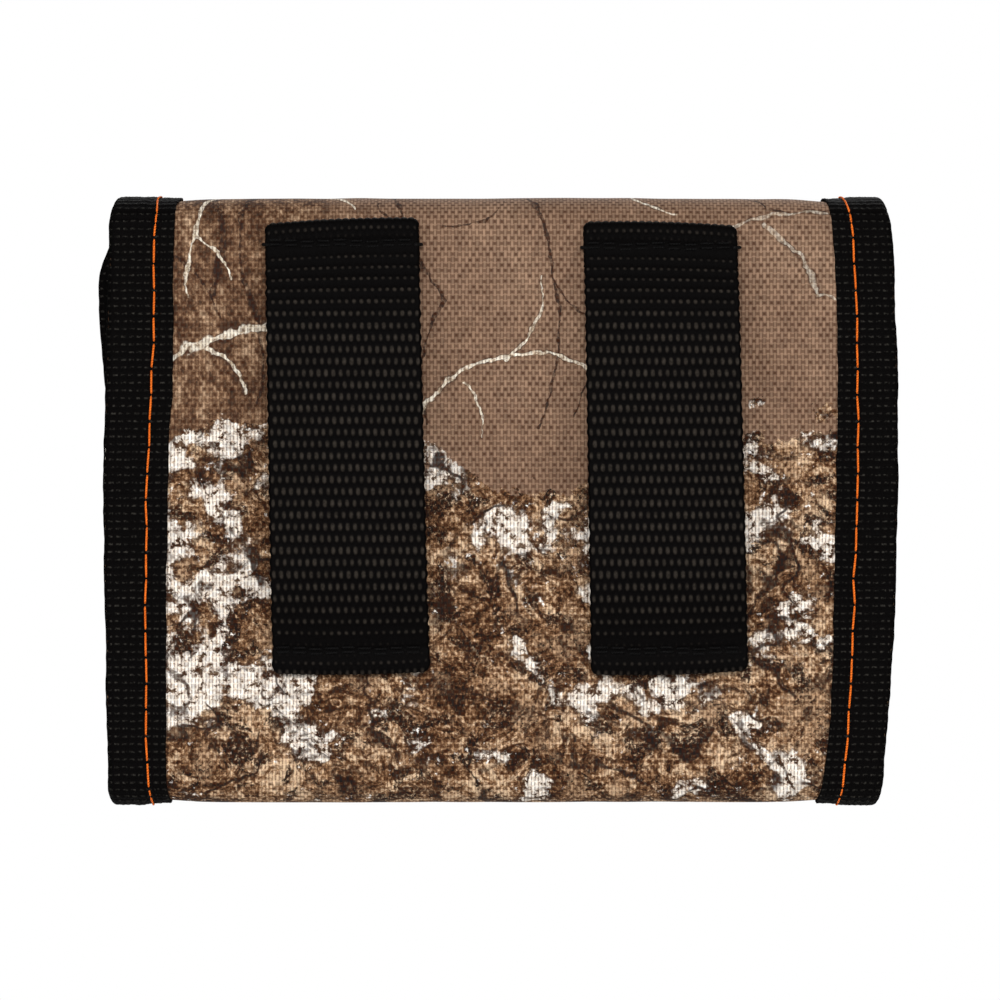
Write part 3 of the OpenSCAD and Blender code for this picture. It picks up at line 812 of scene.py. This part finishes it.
def end_binding(body, v_end, toward):
    """The tape folded over an end of the strip; toward is 1 where v grows away from that end."""
    low, high = -float(EDGE[-1](v_end)) - 0.1, float(EDGE[1](v_end)) + 0.1
    section = binding_section(0.0, BACK_LEG, 0.0)
    across, depth, shows, u = np.broadcast_arrays(*section, np.linspace(low, high, 430)[:, None])
    to_corner = np.minimum(u - low, high - u)
    over_sides = 0.5 * smooth((14 - to_corner) / 5) - 0.2 * smooth((0.7 - to_corner) / 0.7)
    rib = 0.035 * np.cos(2 * math.pi * u / RIB_PITCH)
    dip = DIP_DEPTH * bell(across - BACK_LEG + END_STITCH_IN, DIP_WIDTH)
    depth = depth + np.where(depth < MID_D, -1.0, 1.0) * (over_sides + shows * (rib - dip))
    v = v_end + toward * (BACK_LEG - across + 0.08 * waves(u, 71 + toward, 19))
    part = (body + "_tape_end", body + "_binding_end", body)
    tube_piece(part, strip(u, v, depth), placed(across, u) * MM, BINDING, flip=toward > 0)


# --- Stitches ---

STITCH_PITCH, STITCH_GAP = 4.3, 0.06
# How far the middle of the topstitching's thread lies below the face of the tape.
THREAD_IN = 0.12


def stitch_rings(start, end, up_start, up_end, radius=0.175, lift=0.2, sink=0.3):
    """One stitch from hole to hole, in metres: a short thread that dives into the cloth at both ends.

    The thread's radius, its lift over the cloth and its sink at the holes are in millimetres."""
    t = np.linspace(0, 1, 9)[:, None]
    arch = np.clip(np.sin(np.pi * t), 0, 1) ** 0.22
    up = unit(up_start + (up_end - up_start) * t)
    centre = start + (end - start) * t + up * MM * (lift * arch - sink * (1 - arch))
    along = unit(np.gradient(centre, axis=0))
    across = unit(np.cross(along, up))
    lifted = np.cross(across, along)
    angle = np.linspace(0, 2 * math.pi, 8, endpoint=False)[None, :, None]
    size = radius * MM * (0.72 + 0.28 * arch)[:, :, None]
    return centre[:, None] + size * (np.cos(angle) * across[:, None] + 0.85 * np.sin(angle) * lifted[:, None])


def thread_piece(part, stitches, material):
    """All the stitches of one row, or of several, as one piece."""
    faces, uv = [], []
    for number, rings in enumerate(stitches):
        rows, around = rings.shape[:2]
        start = number * rows * around
        faces += ring_faces(rows, around, start) + end_faces(rows, around, start)
        length = np.linalg.norm(rings[-1].mean(0) - rings[0].mean(0)) / MM
        along = np.linspace(0, length, rows)[:, None] + number * 7.3
        uv.append(placed(np.arange(around) * 0.2, along) * MM)
    make_piece(part, stitches, faces, material, uv)


def binding_stitch(u_from, v_from, u_to, v_to, inside):
    """A stitch through the binding, on the outer face of the strip or on its inner face."""
    places, ways = [], []
    for u, v in ((u_from, v_from), (u_to, v_to)):
        depth = THREAD_IN - BINDING_T
        depth = STRIP_T - depth if inside else depth - fold_lift(v)
        places.append(strip(u, v, depth))
        ways.append(strip(u, v, depth + (1 if inside else -1)) - places[-1])
    return stitch_rings(*places, *ways)


def side_stitches(stretch, side):
    """The topstitching of one side of a stretch, on one pattern along the whole strip."""
    made = []
    low, high = (math.ceil((v - 0.4) / STITCH_PITCH) for v in (stretch.v_to, stretch.v_from))
    for number in range(low, high):
        v_from, v_to = number * STITCH_PITCH + STITCH_GAP / 2, (number + 1) * STITCH_PITCH - STITCH_GAP / 2
        if v_from < FLAP_END + 3 or v_to > COVER_END - 3:
            continue
        jog = 0.1 * math.sin(number * STITCH_PITCH * 2.1)
        u_from, u_to = side * (stitch_at(side, v_from) + jog), side * (stitch_at(side, v_to) - jog)
        made += [binding_stitch(u_from, v_from, u_to, v_to, inside) for inside in (False, True)]
    return made


def end_stitches(v):
    made = []
    for u in np.arange(-56.5, 54.0, STITCH_PITCH):
        made += [binding_stitch(u + 0.1, v, u + STITCH_PITCH - 0.1, v, inside) for inside in (False, True)]
    return made


def line_stitches(corners, y, facing, pitch):
    """Stitches from corner to corner, each given as (x, z), on a face at y that looks along facing."""
    up = np.array([0.0, facing, 0.0])
    made = []
    for (x_from, z_from), (x_to, z_to) in zip(corners, corners[1:]):
        start, end = np.array([x_from, y, z_from]), np.array([x_to, y, z_to])
        count = max(1, round(np.linalg.norm(end - start) / pitch))
        for number in range(count):
            holes = [(start + (end - start) * (number + share) / count) * MM for share in (0.06, 0.94)]
            made.append(stitch_rings(*holes, up, up, 0.2, 0.14))
    return made


# --- Tapes ---


def tape_section(half, thickness, edge, steps, shares):
    """Round a flat tape: place across, height, and share of the relief, of each point.

    steps and shares are those of its upper face, its rounded edges and its lower face."""
    flat, rise = half - edge, thickness / 2
    angles = np.radians(np.linspace(90, -90, steps[1])[1:-1])
    side = [(flat + edge * math.cos(a), rise * math.sin(a), shares[1]) for a in angles]
    upper = [(x * flat, rise, shares[0]) for x in np.linspace(-1, 1, steps[0])]
    lower = [(x * flat, -rise, shares[2]) for x in np.linspace(1, -1, steps[2])]
    other_side = [(-x, height, share) for x, height, share in side[::-1]]
    return np.array(upper + side + lower + other_side).T[:, None]


def ribbon(part, centre, across, up, half, thickness, material, relief=None, columns=40):
    """A tape along a path, in millimetres. across and up are ways in space; relief lifts its upper face."""
    centre, across, up = np.broadcast_arrays(centre, across, up)
    steps = (columns, 7, max(4, columns // 4))
    section = tape_section(half, thickness, min(0.3, thickness / 2), steps, (1, 0, 0))
    a, height, top, along = np.broadcast_arrays(*section, run(centre)[:, None])
    if relief:
        height = height + top * relief(a, along)
    points = centre[:, None] + a[..., None] * across[:, None] + height[..., None] * up[:, None]
    handed = np.dot(np.cross(across[1], up[1]), centre[1] - centre[0])
    return tube_piece(part, points * MM, placed(a, along) * MM, material, flip=handed < 0)


# --- Belt loops ---

LOOP_LOW, LOOP_HIGH = box_mm("belt_loop_left")
LOOP_X = sum(corner[0] for corner in box_mm("belt_loop_right")) / 2
LOOP_OUT, LOOP_HALF = LOOP_LOW[1], (LOOP_HIGH[2] - LOOP_LOW[2]) / 2
WEB_HALF, WEB_T = (LOOP_HIGH[0] - LOOP_LOW[0]) / 2, 1.25
WEB_FRONT = FACE_Y - 0.12 - 2 * WEB_T
TUCK, FOOT = 7.5, LOOP_HALF - 4.3
FLOAT_X, FLOAT_Y = 1.21, 1.93
WEAVE_RELIEF, WEB_ROUNDING = 0.26, 0.45
TACK_PITCH, TACK_LENGTH = 2.66, 2.3
LEAN = math.tan(math.radians(1.2))


def loop_path():
    """Middle of the webbing seen from the side, from one turned-under end over the loop to the other."""
    low, mid_low = FACE_Y - 0.08 - WEB_T / 2, WEB_FRONT + WEB_T / 2
    high, end = LOOP_OUT + WEB_T / 2, LOOP_HALF - WEB_T
    tuck = placed(low, np.linspace(LOOP_HALF - TUCK, end, 12))
    angle = np.radians(np.linspace(-90, 90, 11)[1:-1])
    turn = placed((low + mid_low) / 2 - (low - mid_low) / 2 * np.sin(angle), end + 0.6 * np.cos(angle))
    z = np.linspace(end, 0, 150)
    rise = smooth((FOOT - z) / 13.5) ** 0.8
    over = placed(mid_low + 0.22 * bell(z - FOOT - 0.3, 0.8) + (high - mid_low) * rise, z)
    half = np.concatenate([tuck, turn, over])
    return np.concatenate([half, half[-2::-1] * (1, -1)])


def webbing_floats(across, along, short):
    """Height of the weave, 0 to 1: floats along the webbing, offset like bricks; short draws them in."""
    a, b = across * math.pi / FLOAT_X, along * math.pi / FLOAT_Y
    even = np.abs(np.cos(a)) ** 0.95 * np.clip(np.cos(b), 0, 1) ** short
    odd = np.abs(np.sin(a)) ** 0.95 * np.clip(-np.cos(b), 0, 1) ** short
    own = np.sin(12.9 * np.round(across * 2 / FLOAT_X) + 78.2 * np.round(along / FLOAT_Y))
    return np.maximum(even, odd) * (0.91 + 0.08 * own)


def loop_weave(across, along, z):
    """The weave of a whole loop: shorter floats toward its ends, pressed at its seams, crowded past them."""
    off = np.abs(z)
    # The webbing's painted highlights follow this height, so the floats drawn shorter toward the ends, over a
    # longer reach at the upper end, also paint shade where the loop slopes back.
    short = 0.75 + np.where(z > 0, 2.9 * smooth((z - 17) / 12), 2.2 * smooth((-z - 25) / 8))
    short = np.where(off > FOOT + 1, 1.0, short)
    tight = (0.86 + 0.14 * smooth((31 - off) / 12)) * (1 - 0.5 * bell(off - FOOT - 0.3, 1.2))
    crowded = 0.6 * np.maximum(off - FOOT - 1.2, 0) * np.sign(z)
    return webbing_floats(across, along - crowded, short) * tight


def loop_ends(edge, z, tilt_top, tilt_bottom, drop):
    """How far up the webbing's ends move: they are tilted, bowed and rounded, and the upper one lowered."""
    near_end = smooth((np.abs(z) - 22) / 14)
    corner = 0.35 * smooth((np.abs(edge * WEB_HALF) - WEB_HALF + 1.2) / 1.2) ** 2
    tilt = np.where(z > 0, tilt_top, tilt_bottom) * smooth((np.abs(z) - 18) / 18) * edge
    return tilt + ((0.35 * (1 - edge ** 2) - corner) * np.sign(z) - drop * (z > 0)) * near_end


def belt_loop(part, middle_x, tilt_top, tilt_bottom, drop):
    """A webbing loop with turned-under ends. The tilts skew its ends, and drop lowers the upper one."""
    path = loop_path()
    length = run(path)
    along = np.arange(0, length[-1], 0.24)
    y, z = (np.interp(along, length, column) for column in path.T)
    way_y, way_z = np.gradient(y), np.gradient(z)
    size = np.hypot(way_y, way_z)
    along, y, z, out_y, out_z = (row[:, None] for row in (along, y, z, way_z / size, -way_y / size))
    across, height, share = tape_section(WEB_HALF, WEB_T, WEB_ROUNDING, (150, 9, 40), (1.0, 0.35, 0.6))
    edge = across / WEB_HALF
    floats = loop_weave(across, along, z) * share
    sag = 0.22 * (1 - edge ** 2) * smooth((FOOT - np.abs(z)) / 14)
    height = height + (floats - 0.5) * WEAVE_RELIEF * height / (WEB_T / 2) + sag * 0.6
    picks = 0.09 * np.cos(2 * math.pi * along / FLOAT_Y) * np.abs(edge) ** 20
    edge_wave = (0.045 * waves(along, int(middle_x) + 60, 9, 3) + picks) * edge
    x = middle_x + across * (1 - 0.012 * z / LOOP_HALF) + edge_wave - z * LEAN
    y = np.minimum(y + out_y * height, FACE_Y - 0.02)
    z = z + out_z * height + loop_ends(edge, z, tilt_top, tilt_bottom, drop)
    piece = tube_piece(part, placed(x, y, z) * MM, placed(across, along) * MM, WEBBING)
    attribute = piece.data.attributes.new("float_height", "FLOAT", "POINT")
    attribute.data.foreach_set("value", floats.astype(np.float32).ravel())


def loop_tacks(middle_x, drop):
    """Two rows of stitches across each end of a loop, and a tie at each of its upper corners."""
    out = np.array([0.0, -1.0, 0.0])
    made = []
    for z in [end * (FOOT + row) - (drop if end > 0 else 0) for end in (-1, 1) for row in (0.2, 0.95)]:
        for x in np.arange(-12.2, 9.5, TACK_PITCH):
            start = np.array([middle_x - z * LEAN + x, WEB_FRONT + 0.2, z + 0.15 * math.sin(3 * x)]) * MM
            made.append(stitch_rings(start, start + np.array([TACK_LENGTH, 0, 0]) * MM, out, out, 0.2, 0.06))
    z = FOOT + 0.3 - drop
    for side in (-1, 1):
        start = np.array([middle_x - z * LEAN + side * (WEB_HALF - 0.9), WEB_FRONT + 0.25, z]) * MM
        end = start + np.array([side * 1.25, 1.0, 0.1]) * MM
        made.append(stitch_rings(start, end, out, np.array([side * 0.8, -0.6, 0.0]), 0.3, sink=0.1))
    return made


# --- Cartridge elastic ---

ELASTIC_T, ELASTIC_LOOPS, ELASTIC_PITCH, ELASTIC_FOOT = 1.1, 7, 15.0, 3.0


def elastic_path(low, high):
    """Along the row of cartridge loops, as (x, y): a foot, an arch, a foot, and so on."""
    base, rise = low[1] + ELASTIC_T / 2, high[1] - low[1] - ELASTIC_T
    start = (low[0] + high[0]) / 2 - ELASTIC_LOOPS * ELASTIC_PITCH / 2
    reach = ELASTIC_FOOT / 2 - 0.2
    angle = np.linspace(0, math.pi, 46)
    parts = [placed(np.linspace(low[0] + 0.2, start + reach, 8), base)]
    for loop in range(ELASTIC_LOOPS):
        middle, after = start + (loop + 0.5) * ELASTIC_PITCH, start + (loop + 1) * ELASTIC_PITCH
        x = middle - (ELASTIC_PITCH - ELASTIC_FOOT) / 2 * signed_power(np.cos(angle), 0.62)
        tall = rise * (0.97 + 0.03 * math.sin(loop * 2.3))
        end = after + reach if loop < ELASTIC_LOOPS - 1 else high[0] - 0.2
        parts.append(placed(x, base + tall * np.abs(np.sin(angle)) ** 0.72))
        parts.append(placed(np.linspace(after - reach, end, 8), base))
    path = np.concatenate(parts)
    length = run(path)
    even = np.arange(0, length[-1], 0.33)
    return [np.interp(even, length, column) for column in path.T]


def elastic_seams(low, high):
    """Two rows of stitches down each foot of the elastic."""
    up = np.array([0.0, 1.0, 0.0])
    made = []
    for foot in range(ELASTIC_LOOPS + 1):
        x = (low[0] + high[0]) / 2 + (foot - ELASTIC_LOOPS / 2) * ELASTIC_PITCH
        for z in np.arange(low[2] + 1.5, high[2] - 3.4, 3.2):
            for aside in (-0.5, 0.5):
                start = np.array([x + aside, low[1] + ELASTIC_T - 0.08, z])
                made.append(stitch_rings(start * MM, (start + (0, 0, 2.9)) * MM, up, up, 0.22, 0.12))
    return made


def make_elastic():
    low, high = box_mm("cartridge_elastic")
    centre = placed(*elastic_path(low, high), (low[2] + high[2]) / 2)
    up = np.cross((0, 0, 1), unit(np.gradient(centre, axis=0)))
    ribbon(("elastic_loops", "cartridge_elastic", "back"), centre, (0, 0, 1), up, (high[2] - low[2]) / 2,
           ELASTIC_T - 0.1, elastic_material(), lambda a, s: 0.05 * np.cos(2 * math.pi * a / CORD_PITCH), 150)
    thread_piece(("elastic_seams", "elastic_stitches", "back"), elastic_seams(low, high), BLACK)


# --- Hook and loop tapes ---

# The ground of each tape as a share of its height, and in millimetres where its hooks or its pile start.
HOOK_GROUND, PILE_GROUND = 0.45, 0.55
HOOK_PITCH, HOOK_ROWS = 1.5, 1.25
FIBRES, FIBRE_R = 3600, 0.055


def straight_tape(part, facing, share, material, relief):
    """The woven ground of a fastener tape, along x; facing is the way its upper face looks along y."""
    low, high = box_mm(part[1])
    thickness = (high[1] - low[1]) * share
    y = (low[1] if facing > 0 else high[1]) + facing * thickness / 2
    centre = placed(np.arange(low[0] + 0.05, high[0], 0.4), y, (low[2] + high[2]) / 2)
    ribbon(part, centre, (0, 0, 1), (0, facing, 0), (high[2] - low[2]) / 2, thickness, material, relief, 44)


def hook_field(low, high, material):
    """Rows of little moulded hooks that stand on the hook tape."""
    tall = high[1] - low[1] - HOOK_GROUND
    turns = np.linspace(-0.1, 3.5, 7)[1:]
    line = [(0.0, -0.1), (0.0, 0.35 * tall)]
    line += [(0.26 - 0.26 * math.cos(t), (0.45 + 0.5 * math.sin(t)) * tall) for t in turns]
    points, faces = [], []
    for number, z in enumerate(np.arange(low[2] + 2.4, high[2] - 2.2, HOOK_ROWS)):
        way = 1 if number % 2 else -1
        for x in np.arange(low[0] + 2.2 + 0.4 * (number % 2), high[0] - 2.2, HOOK_PITCH):
            faces += ring_faces(len(line), 4, len(points)) + end_faces(len(line), 4, len(points))[1:]
            for i, (aside, up) in enumerate(line):
                r = 0.14 - 0.008 * i
                for dx, dz in ((-r, -r), (r, -r), (r, r), (-r, r)):
                    points.append((x + dx + way * aside, high[1] - HOOK_GROUND - up, z + dz))
    make_piece(("hooks", "hook_tape", "cover"), np.array(points) * MM, faces, material)


def loop_field(low, high, material):
    """A fuzz of fine fibre arcs that stand on the loop tape."""
    draw = np.random.default_rng(3)
    tall = high[1] - low[1] - PILE_GROUND
    points, faces = [], []
    for _ in range(FIBRES):
        x, z = draw.uniform(low[0] + 2, high[0] - 2), draw.uniform(low[2] + 2, high[2] - 2)
        heading, reach = draw.uniform(0, 2 * math.pi), draw.uniform(0.35, 0.75)
        dx, dz, up = math.cos(heading), math.sin(heading), draw.uniform(0.5, 1.0) * tall
        faces += ring_faces(6, 3, len(points))
        for t in np.linspace(0, math.pi, 6):
            aside, y = -reach * math.cos(t), low[1] + PILE_GROUND + up * math.sin(t) - 0.05
            for across, rise in ((0, FIBRE_R), (FIBRE_R, -FIBRE_R), (-FIBRE_R, -FIBRE_R)):
                points.append((x + dx * aside - dz * across, y + rise, z + dz * aside + dx * across))
    make_piece(("loops", "loop_tape", "lower_flap"), np.array(points) * MM, faces, material)


def tape_seam(part, low, high, y, facing):
    """A rectangle of stitches just inside the edges of a fastener tape."""
    (left, _, below), (right, _, above) = low + 1.2, high - 1.2
    corners = [(left, below), (right, below), (right, above), (left, above), (left, below)]
    thread_piece(part, line_stitches(corners, y, facing, 2.6), BLACK)


def fastener_material(name, scale, base, light):
    return speckled(name, 0.75, 0.15, (scale, 4.0, 0.75), base, light, 0.0003, (0.35, 0.7))


def make_fasteners():
    """The hook tape inside the cover and the loop tape on the lower flap: ground, hooks or pile, and seam."""
    hook_box, pile_box = box_mm("hook_tape"), box_mm("loop_tape")
    plastic = fastener_material("hook_fastener", 900.0, (12, 12, 12), (38, 38, 38))
    pile = fastener_material("loop_fastener", 1500.0, (10, 10, 10), (44, 43, 42))
    straight_tape(("hook_tape_ground", "hook_tape", "cover"), -1, HOOK_GROUND, plastic,
                  lambda a, s: 0.03 * np.cos(2 * math.pi * a / 0.9))
    straight_tape(("loop_tape_ground", "loop_tape", "lower_flap"), 1, PILE_GROUND, pile,
                  lambda a, s: 0.06 * waves(a * 7 + s * 3, 81, 9) * waves(s * 8 - a * 3, 82, 7))
    hook_field(*hook_box, plastic)
    loop_field(*pile_box, pile)
    tape_seam(("hook_tape_seam", "hook_tape_stitches", "cover"), *hook_box, hook_box[1][1] - HOOK_GROUND, -1)
    tape_seam(("loop_tape_seam", "loop_tape_stitches", "lower_flap"), *pile_box, pile_box[0][1] + 0.6, 1)


# --- A clear pocket for a licence on the inside of the cover, taped at the sides and below ---

POCKET_TAPE_W = 6.0


def window_bulge(across, along):
    wide, fine = waves(across + 0.4 * along, 91, 37, 2), waves(along - 0.5 * across, 92, 29, 2)
    return 0.12 + 0.07 * wide + 0.05 * fine


def make_window():
    low, high = box_mm("licence_pocket")
    centre = placed(np.linspace(low[0] + 0.3, high[0] - 0.3, 120), low[1] + 0.06, (low[2] + high[2]) / 2)
    clear = speckled("clear_vinyl", 0.16, 0.5, (60.0, 3.0), (226, 229, 230), (240, 242, 242), 0.0002,
                     Transmission_Weight=0.94, IOR=1.45)
    vinyl = ribbon(("pocket_window", "licence_pocket", "cover"), centre, (0, 0, 1), (0, -1, 0),
                   (high[2] - low[2]) / 2 - 0.3, 0.2, clear, window_bulge, 70)


def make_pocket_tape():
    """A tape down the pocket's left side, along its lower edge and up its right side, with mitred corners."""
    low, high = box_mm("licence_pocket_tape")
    half = POCKET_TAPE_W / 2
    x_from, x_to, z_low, y = low[0] + half, high[0] - half, low[2] + half, (low[1] + high[1]) / 2
    down = np.arange(high[2] - 0.1, z_low, -0.3)
    along = np.arange(x_from, x_to, 0.3)[1:]
    legs = [placed(x_from, y, down), placed(along, y, z_low), placed(x_to, y, down[::-1])]
    corners = [placed(x, y, z_low)[None] for x in (x_from, x_to)]
    centre = np.concatenate([legs[0], corners[0], legs[1], corners[1], legs[2]])
    counts = (len(down), 1, len(along), 1, len(down))
    across = np.repeat([(-1, 0, 0), (-1, 0, -1), (0, 0, -1), (1, 0, -1), (1, 0, 0)], counts, axis=0)
    ribbon(("pocket_tape", "licence_pocket_tape", "cover"), centre, across, (0, -1, 0), half,
           high[1] - low[1], BINDING, lambda a, s: 0.03 * np.cos(2 * math.pi * s / RIB_PITCH), 24)


def make_pocket_seam():
    low, high = box_mm("licence_pocket_tape")
    seam = []
    for inset in (1.0, POCKET_TAPE_W - 1.0):
        left, right, below = low[0] + inset, high[0] - inset, low[2] + inset
        corners = [(left, high[2] - 1), (left, below), (right, below), (right, high[2] - 1)]
        seam += line_stitches(corners, low[1] + 0.06, -1, 3.0)
    thread_piece(("pocket_seam", "licence_pocket_stitches", "cover"), seam, BLACK)


# --- The wallet ---

SIDES = {-1: "left", 1: "right"}


def make_side_bindings(stretch):
    for side, word in SIDES.items():
        side_binding(stretch, side, word)


def make_side_stitches(stretch):
    """A piece for each side of the back, and one piece for both sides of any other stretch."""
    rows = {word: side_stitches(stretch, side) for side, word in SIDES.items()}
    if stretch is BACK:
        for word, row in rows.items():
            thread_piece(("back_stitches_" + word, "back_topstitch_" + word, stretch), row, ORANGE)
    else:
        part = (stretch.name + "_side_stitches", stretch.name + "_topstitch", stretch)
        thread_piece(part, rows["left"] + rows["right"], ORANGE)


def make_bound_end(body, v_end, toward):
    end_binding(body, v_end, toward)
    row = end_stitches(v_end + toward * END_STITCH_IN)
    thread_piece((body + "_end_stitches", body + "_topstitch", body), row, ORANGE)


def make_belt_loop(side, tilt_top, tilt_bottom, drop):
    word, middle_x = SIDES[side], side * LOOP_X
    belt_loop(("webbing_loop_" + word, "belt_loop_" + word, "back"), middle_x, tilt_top, tilt_bottom, drop)
    tacks = loop_tacks(middle_x, drop)
    thread_piece(("loop_tacks_" + word, "belt_loop_stitches_" + word, "back"), tacks, BLACK)


for make in (make_layers, make_side_bindings, make_side_stitches):
    for stretch in STRETCHES:
        make(stretch)
make_belt_loop(-1, 0.5, 0.15, 0.3)
make_belt_loop(1, -0.33, 0.35, 0.8)
make_bound_end("cover", COVER_END, -1)
make_bound_end("lower_flap", FLAP_END, 1)
make_elastic()
make_fasteners()
make_window()
make_pocket_tape()
make_pocket_seam()

# --- Studio ---

PHOTO_WIDTH = 163.9
CAMERA_LENS, SENSOR = 250, 36
DISTANCE = PHOTO_WIDTH * CAMERA_LENS / SENSOR


def make_camera():
    data = bpy.data.cameras.new("camera")
    data.lens, data.sensor_width = CAMERA_LENS, SENSOR
    data.clip_start, data.clip_end = 0.01, 50
    camera = bpy.data.objects.new("camera", data)
    camera.location = (MID_X * MM, (FACE_Y - DISTANCE) * MM, MID_Z * MM)
    camera.rotation_euler = (math.radians(90), 0, 0)
    bpy.context.scene.collection.objects.link(camera)
    bpy.context.scene.camera = camera


def soft_light(name, place, width, height, power):
    """A rectangle of light that looks at the wallet."""
    data = bpy.data.lights.new(name, "AREA")
    data.shape, data.size, data.size_y, data.energy = "RECTANGLE", width, height, power
    light = bpy.data.objects.new(name, data)
    light.location = place
    light.rotation_euler = (Vector(place) - Vector((0, 0, -0.01))).to_track_quat("Z", "Y").to_euler()
    bpy.context.scene.collection.objects.link(light)


def make_world():
    world = bpy.data.worlds.new("studio")
    bpy.context.scene.world = world
    world.use_nodes = True
    nodes = Nodes(world.node_tree)
    seen = nodes.node("ShaderNodeLightPath", {}, "Is Camera Ray")
    background = world.node_tree.nodes["Background"].inputs["Color"]
    nodes.feed(background, seen.mix((0.07, 0.07, 0.07, 1), (1, 1, 1, 1)))


def make_floor():
    """A pale round table well below the wallet, so that both flaps can unfold."""
    bpy.ops.mesh.primitive_cylinder_add(vertices=128, radius=0.46, depth=0.012, location=(0, 0, -0.176))
    floor = bpy.context.object
    floor.name = "floor"
    floor.data.materials.append(speckled("floor", 0.7, 0.3, (9.0, 3.0), (243, 243, 242), (249, 249, 248)))


make_camera()
soft_light("left", (-0.62, -0.62, 0.35), 0.5, 0.7, 2.7)
soft_light("right", (0.62, -0.62, 0.35), 0.5, 0.7, 2.7)
soft_light("front", (0, -0.9, 0.3), 0.5, 0.3, 7.0)
soft_light("rear", (0.1, 0.9, 0.7), 0.9, 0.9, 11)
make_world()
make_floor()
bpy.context.scene.view_settings.view_transform = "Standard"
